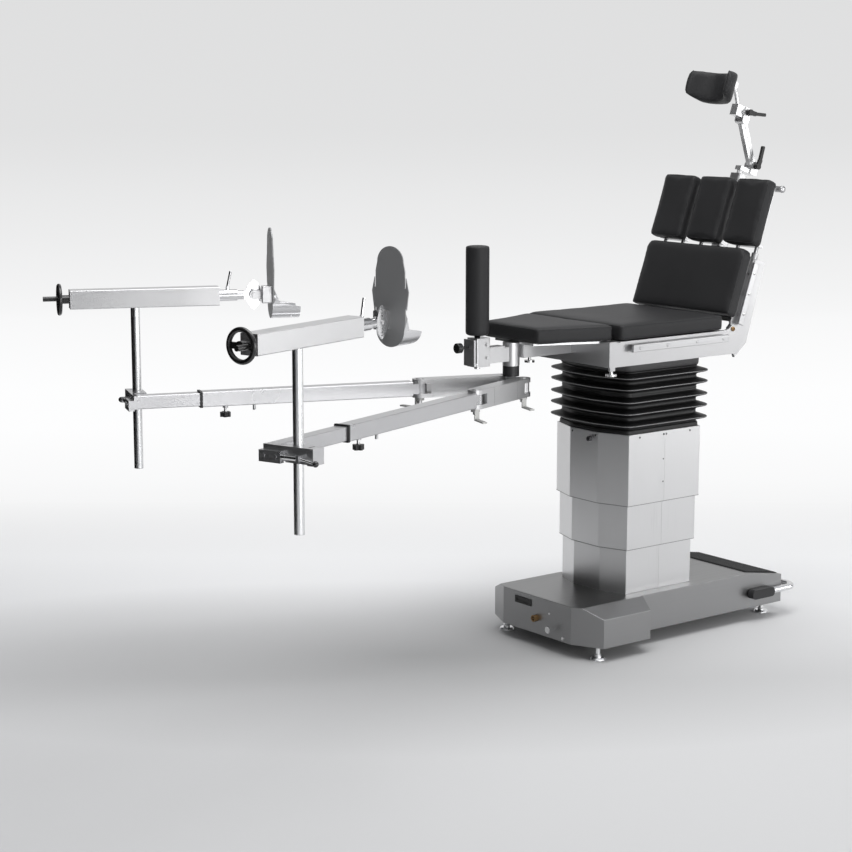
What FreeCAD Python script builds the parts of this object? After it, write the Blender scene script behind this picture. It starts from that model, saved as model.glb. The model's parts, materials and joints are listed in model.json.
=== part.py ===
import FreeCAD, Part
import os
from math import sin, cos, atan2, degrees, radians, hypot

# Orthopaedic traction operating table. Millimetres, Z up, origin on the floor
# under the column axis, +X towards the head end, +Y the patient's left.

V = FreeCAD.Vector

# Base
FOOT_FACE_X = -419.0
HEAD_FACE_X = 584.0
BODY_HALF = 217.0
PANEL_HALF = 180.0
SKIRT_CORNER_X = -367.0
SKIRT_REAR_X = -151.0
SKIRT_HALF = 290.0
SKIRT_SIDE_TOP = 151.0
SHEET = 2.5
BASE_BOTTOM = 51.0
DECK = 182.0
RAMP_X = 407.0
RAMP_END = 152.0
SKIRT_SEAM_X = -120.0
CHASSIS_BOTTOM = 60.0
CHASSIS_TOP = 130.0
CHASSIS_HALF = BODY_HALF - 12
FOOT_FRONT = (SKIRT_CORNER_X + 16, SKIRT_HALF - 47)
FOOT_REAR = (HEAD_FACE_X - 32, BODY_HALF - 72)
FOOT_R = 26.0
STUD_R = 8.0
MAT_MARGIN = 21.0
RIB_W = 5.0
RIB_PITCH = 11.0
PEDAL_X = 440.0
PEDAL_Z = 105.0
PEDAL_END_X = 636.0
PEDAL_TUBE_R = 12.0
PEDAL_PIN_R = 10.0
GRIP_GAP = 1.5
GRIP_T = 27.5
GRIP_Y = (BODY_HALF + GRIP_GAP, BODY_HALF + GRIP_GAP + GRIP_T)

# Column
CORE_FRONT = 189.0
CORE_FACET = 68.0
CORE_CORNER = 155.0
CORE_HALF = 167.0
COVER_STEP = 10.0
COVER_WALL = 2.0
GUIDE_GAP = 0.3
COVER_LOWER_Z = (DECK, 430.0)
COVER_MIDDLE_Z = (341.0, 590.0)
COVER_UPPER_Z = (499.0, 748.0)
BAND = 26.0
MAST_OUTER = 75.0
MAST_INNER = 60.0
MAST_FIT = 0.1
MAST_Z = (335.0, 740.0)
HEAD_PLATE = 8.0
PIVOT_Z = 870.0
TRUNNION_R = 14.0
PIN_FIT = 0.05
LUG_IN = 50.0
LUG_OUT = 72.0
LUG_HALF = 26.0
CROSS_HALF = 28.0

# Bellows
PLEAT_Z = (781.0, 823.0, 863.0, 907.0, 946.0)
PLEAT_OUT = 44.0
NECK_OUT = 14.0
PLEAT_RISE = 13.0
PLEAT_TIP = 2.0
BELLOWS_WALL = 3.0

# Table top
FRAME_Z = (999.0, 1085.5)
FRAME_X = (-309.0, 150.0)
PLATE_T = 8.0
SIDE_T = 10.0
SIDE_Y = 235.0
HINGE = (272.0, 1087.0)
HINGE_PIN_R = 8.0
EAR_R = 14.0
TRAY_T = 3.0
END_PLATE = 45.0
PAD_HALF = 250.0
PAD_X = (-272.0, 222.0)
PAD_TOP = 1143.0
PELVIC_X = (-560.0, -275.0)
PELVIC_HALF = (148.0, 232.0)
RAIL_H = 25.0
RAIL_T = 10.0
RAIL_GAP = 12.0
RAIL_Z = 1059.5
RAIL_X = (-222.0, 232.0)
RAIL_STUDS = (-190.0, -63.0, 77.0, 205.0)
BEAM_Z = (1030.0, 1077.5)
BEAM_HALF = 40.0
BEAM_X = (-520.0, -120.0)
HUB_X = -543.0
HUB_R = 29.0
HUB_Z = (967.5, 1082.0)
HUB_COLLAR_Z = 1003.0
HUB_COLLAR_R = 28.0
KNOB_XY = (-281.0, 212.0)
KNOB_PIN_R = 6.0

# Perineal post
POST_X = -689.0
POST_R = 42.0
POST_Z = (1114.0, 1415.0)
SPIGOT_R = 10.0
CLAMP_Z = (1012.0, 1108.0)
CLAMP_X = (-712.0, -586.0)
CLAMP_HALF = 27.0
CLAMP_FRONT = 58.0
CLAMP_REAR_HALF = 19.0
POST_KNOB_Z = 1079.0
POST_KNOB_X = -764.0

# Back section, drawn lying flat behind its hinge, then raised
BACK_ANGLE = 70.6
BACK_PAD_X = (32.0, 288.0)
BACK_PAD_TOP = 56.0
BACK_PAD_T = 48.0
BACK_PLATE_Y = (214.0, 223.5)
SHOULDER_X = (296.0, 540.0)
SHOULDER_W = 162.0
SHOULDER_PITCH = 183.0
SHOULDER_TOP = 43.0
SHOULDER_T = 48.0
PEG_R = 7.0
PEG_Y = 45.0
PEG_Z = -18.0
STEM_HALF = 24.0
STEM_Z = (-86.0, -46.0)
CROSSBAR_X = 528.0
CROSSBAR_HALF = 195.0
CROSSBAR_R = 11.0
HEAD_POST_X = 623.0
HEAD_POST_Z = -118.0
HEAD_ROD = 152.0
HEAD_TOP_X = 762.0
HEAD_TOP_Z = -10.0
HEAD_LEVER = (791.0, -10.0)
HEAD_PIVOT = (862.0, 84.0)
HEAD_ROD_R = 10.0
HEAD_PIN_R = 6.0
CUSHION_X = 831.0
CUSHION_Z = 111.0
CUSHION_HALF = 110.0
CUSHION_HIGH = 116.0
CUSHION_DEEP = 102.0
CUSHION_WALL = 36.0
CUSHION_ROUND = 54.0

# Traction arms, drawn along local +X from the hub pivot, outer side is local +Y
ARM_PIVOT = (-530.0, 46.5)
ARM_ANGLE = 19.6
LINK_LEN = 303.0
LINK_HALF = 26.0
LINK_Z = (903.0, 965.0)
TONGUE_Z = (917.3, 950.7)
LUG_GAP = 0.3
ARM_PIN_R = 8.0
OUTER_X = 1045.0
OUTER_HALF = 24.5
OUTER_Z = (909.0, 958.0)
TUBE_WALL = 3.0
SLIDE_FIT = 0.15
INNER_WALL = 3.0
INSERT_NEAR = 250.0
RING_T = 8.0
ROD_R = 15.0
ROD_OUT = 80.0
CLAMP_WALL = 16.0
CLAMP_BAR = 12.0
CAM_PIN_R = 5.0
ROD_Z = (702.0, 1230.0)
ROD_AT = {"right": 1372.0, "left": 1239.0}
UNIT_TURN = {"right": -1.6, "left": 3.8}
UNIT_H = 60.0
UNIT_BACK = 208.0
UNIT_FRONT = 270.0
UNIT_AXIS_Z = ROD_Z[1] + UNIT_H / 2
WHEEL_R = 51.0
WHEEL_AT = -UNIT_BACK - 32.0
SPINDLE_R = 19.0
SPINDLE_FIT = 0.1
SPINDLE_END = 330.0
TILT_AT = 387.0
SOLE_AT = 440.0
SOLE_T = 4.0
HEEL_DROP = 79.0
SOLE_LEN = 296.0
SOLE_HALF = 65.0
HEEL_DEPTH = 92.0


def box(x0, x1, y0, y1, z0, z1):
    return Part.makeBox(x1 - x0, y1 - y0, z1 - z0, V(x0, y0, z0))


def rod(x, y, z, axis, radius, length):
    return Part.makeCylinder(radius, length, V(x, y, z), V(*axis))


def fuse(parts):
    whole = parts[0]
    for piece in parts[1:]:
        whole = whole.fuse(piece)
    return whole.removeSplitter()


def cut(shape, tools):
    for tool in tools:
        shape = shape.cut(tool)
    return shape


def prism_z(points, z0, z1):
    loop = [V(x, y, z0) for x, y in points]
    face = Part.Face(Part.makePolygon(loop + loop[:1]))
    return face.extrude(V(0, 0, z1 - z0))


def prism_y(points, y0, y1):
    loop = [V(x, y0, z) for x, z in points]
    face = Part.Face(Part.makePolygon(loop + loop[:1]))
    return face.extrude(V(0, y1 - y0, 0))


def prism_x(points, x0, x1):
    loop = [V(x0, y, z) for y, z in points]
    face = Part.Face(Part.makePolygon(loop + loop[:1]))
    return face.extrude(V(x1 - x0, 0, 0))


def edges_along(shape, axis):
    found = []
    for edge in shape.Edges:
        if len(edge.Vertexes) == 2 and edge.Curve.TypeId == "Part::GeomLine":
            a, b = edge.Vertexes[0].Point, edge.Vertexes[1].Point
            run = b.sub(a)
            if abs(abs(run.dot(V(*axis))) - run.Length) < 1e-6:
                found.append(edge)
    return found


def round_along(shape, axis, radius, keep=None):
    picked = edges_along(shape, axis)
    if keep:
        picked = [e for e in picked if keep(e.CenterOfMass)]
    return shape.makeFillet(radius, picked)


def soft_block(points, z0, z1, corner, edge):
    """Upholstered block: rounded plan corners and rounded rims."""
    block = prism_z(points, z0, z1)
    block = round_along(block, (0, 0, 1), corner)
    rims = [e for e in block.Edges
            if abs(e.BoundBox.ZMax - e.BoundBox.ZMin) < 1e-6]
    return block.makeFillet(edge, rims)


def rect(x0, x1, y0, y1):
    return [(x0, y0), (x1, y0), (x1, y1), (x0, y1)]


def mirrored(shape):
    return shape.mirror(V(0, 0, 0), V(0, 1, 0))


def both_sides(shape):
    return [shape, mirrored(shape)]


def grown(points, gap):
    """Outline of a convex polygon moved outwards by the gap."""
    out = []
    count = len(points)
    for i in range(count):
        ax, ay = points[i - 1]
        bx, by = points[i]
        cx, cy = points[(i + 1) % count]
        u = hypot(bx - ax, by - ay)
        w = hypot(cx - bx, cy - by)
        n1 = ((by - ay) / u, -(bx - ax) / u)
        n2 = ((cy - by) / w, -(cx - bx) / w)
        k = gap / (1 + n1[0] * n2[0] + n1[1] * n2[1])
        out.append((bx + (n1[0] + n2[0]) * k, by + (n1[1] + n2[1]) * k))
    return out


def core_outline(gap=0.0):
    f, t, c, h = CORE_FRONT, CORE_FACET, CORE_CORNER, CORE_HALF
    points = [(-f, -t), (-c, -h), (c, -h), (f, -t)]
    points += [(x, -y) for x, y in reversed(points)]
    return grown(points, gap)


def save(shape, name):
    shape.exportStep("parts/%s.step" % name)


# Base

def body_outline(inset):
    facet = (BODY_HALF - PANEL_HALF) * (SKIRT_CORNER_X - FOOT_FACE_X)
    facet = FOOT_FACE_X + facet / (SKIRT_HALF - PANEL_HALF)
    points = [(FOOT_FACE_X, -PANEL_HALF), (facet, -BODY_HALF)]
    points += [(HEAD_FACE_X, -BODY_HALF), (HEAD_FACE_X, BODY_HALF)]
    points += [(facet, BODY_HALF), (FOOT_FACE_X, PANEL_HALF)]
    return grown(points, -inset)


def base_profile(drop):
    """Side profile of the body, pulled in by the sheet thickness."""
    a, b = FOOT_FACE_X - 5, HEAD_FACE_X + 5
    low = BASE_BOTTOM - 1 if drop else BASE_BOTTOM
    return [(a, low), (b, low), (b, RAMP_END - drop),
            (RAMP_X, DECK - drop), (a, DECK - drop)]


def outrigger():
    """Extent in X and top of the cross bar that reaches the front feet."""
    x = FOOT_FRONT[0]
    return x - 12, x + 60, CHASSIS_TOP - 20


def make_base_cover():
    span = BODY_HALF + 5
    skin = prism_z(body_outline(SHEET + 0.5), 0, 300)
    skin = skin.common(prism_y(base_profile(0), -span, span))
    room = prism_z(body_outline(2 * SHEET + 0.5), 0, 300)
    room = room.common(prism_y(base_profile(SHEET), -span, span))
    cover = skin.cut(room)
    well = prism_z(core_outline(-COVER_WALL - 1), DECK - 20, DECK + 20)
    cover = cover.cut(well)
    x0, x1, top = outrigger()
    window = box(x0 - 2, x1 + 2, -span, span, BASE_BOTTOM - 2, top + 2)
    pins = rod(PEDAL_X, -span, PEDAL_Z, (0, 1, 0), PEDAL_PIN_R + 1, 2 * span)
    seam = [box(SKIRT_SEAM_X, SKIRT_SEAM_X + 1.2, -span, span, DECK - 0.8, DECK + 1)]
    return cut(cover, [window, pins] + seam)


def make_base_skirt():
    """Wrap-around foot end: folded front panel and two low side wings."""
    corner = [(FOOT_FACE_X, -PANEL_HALF), (SKIRT_CORNER_X, -SKIRT_HALF)]
    corner += [(SKIRT_REAR_X, -SKIRT_HALF), (SKIRT_SEAM_X, -BODY_HALF)]
    corner += [(SKIRT_SEAM_X, BODY_HALF), (SKIRT_REAR_X, SKIRT_HALF)]
    corner += [(SKIRT_CORNER_X, SKIRT_HALF), (FOOT_FACE_X, PANEL_HALF)]
    bottom = BASE_BOTTOM - 1
    top = [(-SKIRT_HALF, bottom), (SKIRT_HALF, bottom),
           (SKIRT_HALF, SKIRT_SIDE_TOP), (BODY_HALF, DECK),
           (-BODY_HALF, DECK), (-SKIRT_HALF, SKIRT_SIDE_TOP)]
    shell = prism_z(corner, bottom, DECK)
    shell = shell.common(prism_x(top, FOOT_FACE_X, SKIRT_SEAM_X))
    core = prism_z(body_outline(SHEET + 0.5), 0, 300)
    shell = shell.cut(core)
    inner = BODY_HALF - SHEET - 0.5
    room = prism_z(grown(corner, -SHEET), 0, DECK)
    slope = [(-SKIRT_HALF, 0), (-inner, 0), (-inner, DECK - SHEET),
             (-BODY_HALF, DECK - SHEET), (-SKIRT_HALF, SKIRT_SIDE_TOP - SHEET)]
    room = room.common(prism_x(slope, FOOT_FACE_X, SKIRT_SEAM_X))
    return cut(shell, both_sides(room))


def make_base_chassis():
    """Ballasted cast frame with the fixed outer mast."""
    top = DECK - SHEET
    inside = FOOT_FACE_X + 2 * SHEET + 3
    slab = box(inside + 15, HEAD_FACE_X - 12, -CHASSIS_HALF, CHASSIS_HALF,
               CHASSIS_BOTTOM, CHASSIS_TOP)
    reach = FOOT_FRONT[1] + 20
    x0, x1, cross_top = outrigger()
    cross = box(x0, x1, -reach, reach, CHASSIS_BOTTOM, cross_top)
    ribs = [box(x, x + 20, -CHASSIS_HALF, CHASSIS_HALF, CHASSIS_TOP, top)
            for x in (-300.0, RAMP_X - 60)]
    mast = box(-MAST_OUTER, MAST_OUTER, -MAST_OUTER, MAST_OUTER,
               CHASSIS_TOP, COVER_LOWER_Z[1])
    bore = MAST_INNER + MAST_FIT
    well = box(-bore, bore, -bore, bore, CHASSIS_BOTTOM + 12, 500)
    reach = GRIP_Y[1] - 6
    pins = rod(PEDAL_X, -reach, PEDAL_Z, (0, 1, 0), PEDAL_PIN_R, 2 * reach)
    holes = [rod(x, s * y, 0, (0, 0, 1), STUD_R, 100)
             for x, y in (FOOT_FRONT, FOOT_REAR) for s in (-1, 1)]
    whole = cut(fuse([slab, cross, mast] + ribs), [well])
    whole = fuse([whole, pins.cut(well)])
    return cut(whole, holes)


def make_feet():
    feet = []
    for x, y in (FOOT_FRONT, FOOT_REAR):
        for s in (-1, 1):
            pad = Part.makeCone(FOOT_R, FOOT_R - 4, 6, V(x, s * y, 4), V(0, 0, 1))
            pad = pad.fuse(rod(x, s * y, 0, (0, 0, 1), FOOT_R, 4))
            pad = pad.fuse(rod(x, s * y, 10, (0, 0, 1), 12, 10))
            pad = pad.fuse(rod(x, s * y, 20, (0, 0, 1), STUD_R, 80))
            feet.append(pad.removeSplitter())
    return Part.makeCompound(feet)


def make_deck_mat():
    """Ribbed rubber tread on the sloping head end of the deck."""
    fall = (DECK - RAMP_END) / (HEAD_FACE_X + 5 - RAMP_X)
    half = BODY_HALF - MAT_MARGIN
    profile = [(x, DECK - (x - RAMP_X) * fall) for x in (RAMP_X + 2, HEAD_FACE_X - 9)]
    profile += [(x, z + 2.5) for x, z in reversed(profile)]
    sheet = prism_y(profile, -half, half)
    ribs = []
    x = RAMP_X + 8
    while x < HEAD_FACE_X - 16:
        z = DECK - (x - RAMP_X) * fall
        ribs.append(box(x, x + RIB_W, -half, half, z + 1, z + 4))
        x += RIB_PITCH
    return fuse([sheet] + ribs)


def make_panel_fittings():
    """Mains inlet, earth stud and the two service plugs of the foot panel."""
    face = FOOT_FACE_X
    inlet = box(face - 3, face, 28, 114, 141, 165)
    slot = box(face - 4, face - 1, 38, 104, 147, 159)
    socket = rod(face - 16, 0, 106, (1, 0, 0), 12, 16)
    socket = socket.cut(rod(face - 17, 0, 106, (1, 0, 0), 8, 12))
    socket = socket.fuse(rod(face - 16, 0, 106, (1, 0, 0), 3, 14))
    stud = rod(face - 24, -89, 86, (1, 0, 0), 4, 24)
    stud = stud.fuse(rod(face - 28, -89, 86, (1, 0, 0), 12, 4))
    low = rod(face - 10, -148, 66, (1, 0, 0), 6, 10)
    vent = rod(face - 1.5, -68, 136, (1, 0, 0), 4, 1.5)
    return Part.makeCompound([inlet.cut(slot), socket, stud, low, vent])


def make_pedal_bar():
    """U-shaped floor-lock bar around the head end."""
    y = (GRIP_Y[0] + GRIP_Y[1]) / 2
    r = PEDAL_TUBE_R
    bend = 34.0
    x0 = PEDAL_X + 76
    side = rod(x0, -y, PEDAL_Z, (1, 0, 0), r, PEDAL_END_X - bend - x0)
    elbow = Part.makeTorus(bend, r, V(0, 0, 0), V(0, 0, 1))
    elbow.translate(V(PEDAL_END_X - bend, -y + bend, PEDAL_Z))
    quarter = box(PEDAL_END_X - bend, PEDAL_END_X + 20, -y - 20, -y + bend, 0, 300)
    elbow = elbow.common(quarter)
    across = rod(PEDAL_END_X, -y + bend, PEDAL_Z, (0, 1, 0), r, 2 * (y - bend))
    return fuse([side, mirrored(side), elbow, mirrored(elbow), across])


def make_pedal_grips():
    y0, y1 = GRIP_Y
    grip = box(PEDAL_X - 38, PEDAL_X + 76, -y1, -y0, PEDAL_Z - 17, PEDAL_Z + 17)
    grip = round_along(grip, (0, 1, 0), 15)
    bore = rod(PEDAL_X, -y1 + 5, PEDAL_Z, (0, 1, 0), PEDAL_PIN_R + PIN_FIT, 40)
    grip = grip.cut(bore)
    return Part.makeCompound(both_sides(grip))


# Column

def make_cover(step, span, banded):
    low, high = span
    shell = prism_z(core_outline(step), low, high)
    if banded:
        reach = step + COVER_STEP - COVER_WALL - GUIDE_GAP
        shell = fuse([shell, prism_z(core_outline(reach), high - BAND, high)])
    shell = shell.cut(prism_z(core_outline(step - COVER_WALL), low - 1, high + 1))
    side = CORE_HALF + step
    seams = [box(-0.6, 0.6, s * side - 0.8, s * side + 0.8, low - 1, high - BAND - 4)
             for s in (-1, 1)]
    return cut(shell, seams)


def make_cover_upper():
    """Outer cover with its screw rows and the hand-control socket."""
    low, high = COVER_UPPER_Z
    step = 2 * COVER_STEP
    cover = make_cover(step, (low, high), False)
    heads = []
    side = CORE_HALF + step
    for s in (-1, 1):
        for x in (-120, -6, 6, 120):
            heads.append(rod(x, s * side, high - 12, (0, s, 0), 3.5, 1.2))
        for z in (low + 70, low + 150):
            heads.append(rod(-6, s * side, z, (0, s, 0), 2.5, 1.0))
    face = CORE_FRONT + step
    for y in (-60, 60):
        heads.append(rod(-face, y, high - 12, (-1, 0, 0), 3.5, 1.2))
    socket = rod(-face, -36, high - 26, (-1, 0, 0), 9, 14)
    socket = socket.cut(rod(-face - 4, -36, high - 26, (-1, 0, 0), 6, 12))
    return fuse([cover, socket] + heads)


def make_mast_inner():
    """Lifting mast: square tube, head plate and the two fork lugs."""
    low, high = MAST_Z
    m = MAST_INNER
    tube = box(-m, m, -m, m, low, high)
    tube = tube.cut(box(-m + 10, m - 10, -m + 10, m - 10, low - 1, high - 10))
    plate = prism_z(core_outline(2 * COVER_STEP - COVER_WALL), high, high + HEAD_PLATE)
    lugs = []
    for y0, y1 in ((-LUG_OUT, -LUG_IN), (LUG_IN, LUG_OUT)):
        lug = box(-LUG_HALF, LUG_HALF, y0, y1, high + HEAD_PLATE, PIVOT_Z + LUG_HALF)
        lug = round_along(lug, (0, 1, 0), LUG_HALF - 1, lambda c: c.z > PIVOT_Z)
        lugs.append(lug.cut(rod(0, y0 - 1, PIVOT_Z, (0, 1, 0), TRUNNION_R + PIN_FIT, 30)))
    return fuse([tube, plate] + lugs)


def make_gimbal():
    """Cross pin: one axis tips the table head-down, the other tips it sideways."""
    c = CROSS_HALF
    block = box(-c, c, -c, c, PIVOT_Z - c, PIVOT_Z + c)
    reach = LUG_OUT + 4
    across = rod(0, -reach, PIVOT_Z, (0, 1, 0), TRUNNION_R, 2 * reach)
    along = rod(-reach, 0, PIVOT_Z, (1, 0, 0), TRUNNION_R, 2 * reach)
    return fuse([block, across, along])


def bellows_skin(inset):
    """Stack of flat pleats between the column head and the table."""
    pieces = []
    start = COVER_UPPER_Z[1]
    neck = NECK_OUT - inset
    pieces.append(prism_z(core_outline(neck), start, FRAME_Z[0]))
    for z in PLEAT_Z:
        loops = []
        for dz, out in ((-PLEAT_RISE, neck), (-PLEAT_TIP, PLEAT_OUT - inset),
                        (PLEAT_TIP, PLEAT_OUT - inset), (PLEAT_RISE, neck)):
            loop = [V(x, y, z + dz) for x, y in core_outline(out)]
            loops.append(Part.makePolygon(loop + loop[:1]))
        pieces.append(Part.makeLoft(loops, True, True))
    return fuse(pieces)


def make_bellows():
    core = prism_z(core_outline(NECK_OUT - BELLOWS_WALL), 700, FRAME_Z[0] + 10)
    return bellows_skin(0.0).cut(core)


# Table top

def side_plate(y0, y1):
    """Side plate whose rear end rises in a rounded ear around the hinge."""
    hx, hz = HINGE
    low, high = FRAME_Z
    x0 = FRAME_X[0]
    back = hx + EAR_R
    start = hx - 3 * EAR_R
    corners = [V(start, y0, high), V(x0, y0, high), V(x0, y0, low), V(back - 4, y0, low)]
    rim = [Part.makeLine(a, b) for a, b in zip(corners, corners[1:])]
    rim.append(Part.Arc(corners[-1], V(back + 3, y0, hz - 42), V(back, y0, hz)).toShape())
    turn = radians(150)
    ear_end = V(hx + EAR_R * cos(turn), y0, hz + EAR_R * sin(turn))
    rim.append(Part.Arc(V(back, y0, hz), V(hx, y0, hz + EAR_R), ear_end).toShape())
    middle = V((start + ear_end.x) / 2 + 2, y0, (high + ear_end.z) / 2 - 2.5)
    rim.append(Part.Arc(ear_end, middle, corners[0]).toShape())
    return Part.Face(Part.Wire(rim)).extrude(V(0, y1 - y0, 0))


def make_table_frame():
    """Welded table frame with its gimbal lugs and back-hinge pins."""
    low, high = FRAME_Z
    x0, x1 = FRAME_X
    inner = SIDE_Y - SIDE_T
    sides = both_sides(side_plate(-SIDE_Y, -inner))
    floor = box(x0, x1, -inner, inner, low, low + PLATE_T)
    top = box(PAD_X[0], x1, -inner, inner, high - PLATE_T, high)
    tail = box(x1, PAD_X[1] - 4, -200, 200, high - PLATE_T, high)
    front = box(x0, x0 + SIDE_T, -inner, inner, low + PLATE_T, high)
    front = front.cut(box(x0 - 1, x0 + 20, -BEAM_HALF, BEAM_HALF, BEAM_Z[0], high + 1))
    plate_slot = box(x0 - 1, x0 + 20, -190, 190, high - PLATE_T, high + 1)
    tray = box(PAD_X[0], HINGE[0] - 3.5 * EAR_R, -PAD_HALF + 5, PAD_HALF - 5, high - TRAY_T, high)
    ends = []
    for s in (-1, 1):
        y0, y1 = sorted((s * (SIDE_Y + 2), s * (SIDE_Y + 2 - END_PLATE)))
        ends.append(box(x0 - 4, x0, y0, y1, low + 2, high - 2))
        y0, y1 = sorted((s * SIDE_Y, s * (SIDE_Y - SIDE_T)))
        ends.append(box(x0 + 2, x0 + 24, y0, y1, low - 12, low))
        for z in (low + 20, high - 20):
            ends.append(rod(x0 - 5, s * (SIDE_Y - 10), z, (1, 0, 0), 4, 2))
    rear = box(x1 - SIDE_T, x1, -inner, inner, low + PLATE_T, high - PLATE_T)
    ribs = [box(x0 + SIDE_T, x1 - SIDE_T, y, y + PLATE_T, low + PLATE_T, high - PLATE_T)
            for y in (BEAM_HALF, -BEAM_HALF - PLATE_T)]
    lugs = []
    for a, b in ((-LUG_OUT, -LUG_IN), (LUG_IN, LUG_OUT)):
        lug = box(a, b, -LUG_HALF, LUG_HALF, PIVOT_Z - LUG_HALF, low)
        lug = round_along(lug, (1, 0, 0), LUG_HALF - 1, lambda c: c.z < PIVOT_Z)
        lugs.append(lug.cut(rod(a - 1, 0, PIVOT_Z, (1, 0, 0), TRUNNION_R + PIN_FIT, 30)))
    pins = [rod(HINGE[0], s * SIDE_Y, HINGE[1], (0, -s, 0), HINGE_PIN_R, 26)
            for s in (-1, 1)]
    frame = fuse(sides + [floor, top, tail, tray, front.cut(plate_slot), rear] + ends)
    kx, ky = KNOB_XY
    holes = [rod(kx, s * ky, low - 1, (0, 0, 1), KNOB_PIN_R + PIN_FIT, PLATE_T + 2)
             for s in (-1, 1)]
    return fuse([frame.cut(Part.makeCompound(holes))] + ribs + lugs + pins)


def make_side_rails():
    """Accessory rails, 25 by 10 section, on stand-off studs."""
    y0 = SIDE_Y + RAIL_GAP
    bar = box(RAIL_X[0], RAIL_X[1], y0, y0 + RAIL_T, RAIL_Z - RAIL_H / 2, RAIL_Z + RAIL_H / 2)
    parts = [bar]
    for x in RAIL_STUDS:
        parts.append(rod(x, SIDE_Y, RAIL_Z, (0, 1, 0), 8, RAIL_GAP))
        parts.append(rod(x, y0 + RAIL_T, RAIL_Z, (0, 1, 0), 5, 1.5))
    rail = fuse(parts)
    return Part.makeCompound(both_sides(rail))


def make_main_pad():
    plan = rect(PAD_X[0], PAD_X[1], -PAD_HALF, PAD_HALF)
    return soft_block(plan, FRAME_Z[1], PAD_TOP, 14, 7)


def make_pelvic_pad():
    (x0, x1), (a, b) = PELVIC_X, PELVIC_HALF
    plan = [(x0, -a), (x1, -b), (x1, b), (x0, a)]
    return soft_block(plan, FRAME_Z[1], PAD_TOP, 14, 7)


def make_leg_beam():
    """Plug-in beam with the pelvic plate, hub, twin pivot bracket and post clamp."""
    high = FRAME_Z[1]
    beam = box(BEAM_X[0], BEAM_X[1], -BEAM_HALF, BEAM_HALF, BEAM_Z[0], BEAM_Z[1])
    beam = beam.cut(box(BEAM_X[0] + 20, BEAM_X[1] + 1, -BEAM_HALF + 5, BEAM_HALF - 5,
                        BEAM_Z[0] + 5, BEAM_Z[1] - 5))
    plate = prism_z([(-530, -100), (FRAME_X[0] + SIDE_T, -190), (PAD_X[0], -190),
                     (PAD_X[0], 190), (FRAME_X[0] + SIDE_T, 190), (-530, 100)],
                    high - PLATE_T, high)
    hub = rod(HUB_X, 0, HUB_COLLAR_Z, (0, 0, 1), HUB_R, HUB_Z[1] - HUB_COLLAR_Z)
    collar = rod(HUB_X, 0, HUB_Z[0], (0, 0, 1), HUB_COLLAR_R, HUB_COLLAR_Z - HUB_Z[0])
    px, py = ARM_PIVOT
    neck = rod(HUB_X, 0, TONGUE_Z[0], (0, 0, 1), 17, HUB_Z[0] - TONGUE_Z[0])
    z0, z1 = TONGUE_Z
    tongue = [box(px - 16, px + 16, -py, py, z0, z1)]
    for s in (-1, 1):
        tongue.append(rod(px, s * py, z0, (0, 0, 1), LINK_HALF - 4, z1 - z0))
    tongue.append(box(HUB_X - 17, px, -17, 17, z0, z1))
    x0, x1 = CLAMP_X
    front = x0 + CLAMP_FRONT
    block = box(x0, front, -CLAMP_HALF, CLAMP_HALF, CLAMP_Z[0], CLAMP_Z[1])
    block = round_along(block, (0, 0, 1), 5)
    rear = box(front - 2, x1, -CLAMP_REAR_HALF, CLAMP_REAR_HALF, CLAMP_Z[0] + 8, CLAMP_Z[1] - 34)
    bolts = []
    for z in (CLAMP_Z[0] + 30, CLAMP_Z[1] - 22):
        bolts.append(rod(x0 + 44, -CLAMP_HALF - 4, z, (0, 1, 0), 6, 2 * CLAMP_HALF + 8))
    bridge = box(x1, HUB_X, -18, 18, CLAMP_Z[0] + 8, CLAMP_Z[1] - 40)
    jaw = box(x0 - 12, x0 - 5, -CLAMP_HALF, CLAMP_HALF, CLAMP_Z[0] + 4, CLAMP_Z[1] - 4)
    web = box(x0 - 12, x0, -CLAMP_HALF, CLAMP_HALF, CLAMP_Z[0] + 4, CLAMP_Z[0] + 14)
    whole = fuse([beam, plate, hub, collar, neck, block, rear, bridge, jaw, web] + tongue + bolts)
    holes = [rod(px, s * py, z0 - 1, (0, 0, 1), ARM_PIN_R + PIN_FIT, 60) for s in (-1, 1)]
    holes.append(rod(POST_X, 0, CLAMP_Z[0] - 1, (0, 0, 1), SPIGOT_R + PIN_FIT, 120))
    holes.append(rod(x0 - 14, 0, POST_KNOB_Z, (1, 0, 0), 5 + PIN_FIT, 16))
    slit = box(x0 - 1, POST_X, -1, 1, CLAMP_Z[0] + 20, CLAMP_Z[1] + 1)
    return cut(whole, holes + [slit])


def make_frame_knob(side):
    """Thumb screw under the foot-end corner that locks the leg plate."""
    x, y = KNOB_XY
    low = FRAME_Z[0]
    screw = rod(x, -y, low - 24, (0, 0, 1), KNOB_PIN_R, 24 + PLATE_T - 1)
    disc = rod(x, -y, low - 32, (0, 0, 1), 19, 8)
    collar = rod(x, -y, low - 6, (0, 0, 1), 10, 5.7)
    knob = fuse([screw, disc, collar])
    return mirrored(knob) if side == "left" else knob


def make_perineal_post():
    low, high = POST_Z
    body = rod(POST_X, 0, low, (0, 0, 1), POST_R, high - low)
    rims = [e for e in body.Edges if abs(e.BoundBox.ZMax - e.BoundBox.ZMin) < 1e-6]
    body = body.makeFillet(5, rims)
    spigot = rod(POST_X, 0, CLAMP_Z[0] - 8, (0, 0, 1), SPIGOT_R, low - CLAMP_Z[0] + 20)
    return fuse([body, spigot])


def make_post_knob():
    screw = rod(POST_KNOB_X, 0, POST_KNOB_Z, (1, 0, 0), 5, CLAMP_X[0] - POST_KNOB_X - 1)
    head = rod(POST_KNOB_X - 14, 0, POST_KNOB_Z, (1, 0, 0), 17, 20)
    head = head.makeFillet(3, [e for e in head.Edges if e.Closed and e.Length > 50])
    return fuse([screw, head])


# Back section

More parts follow.
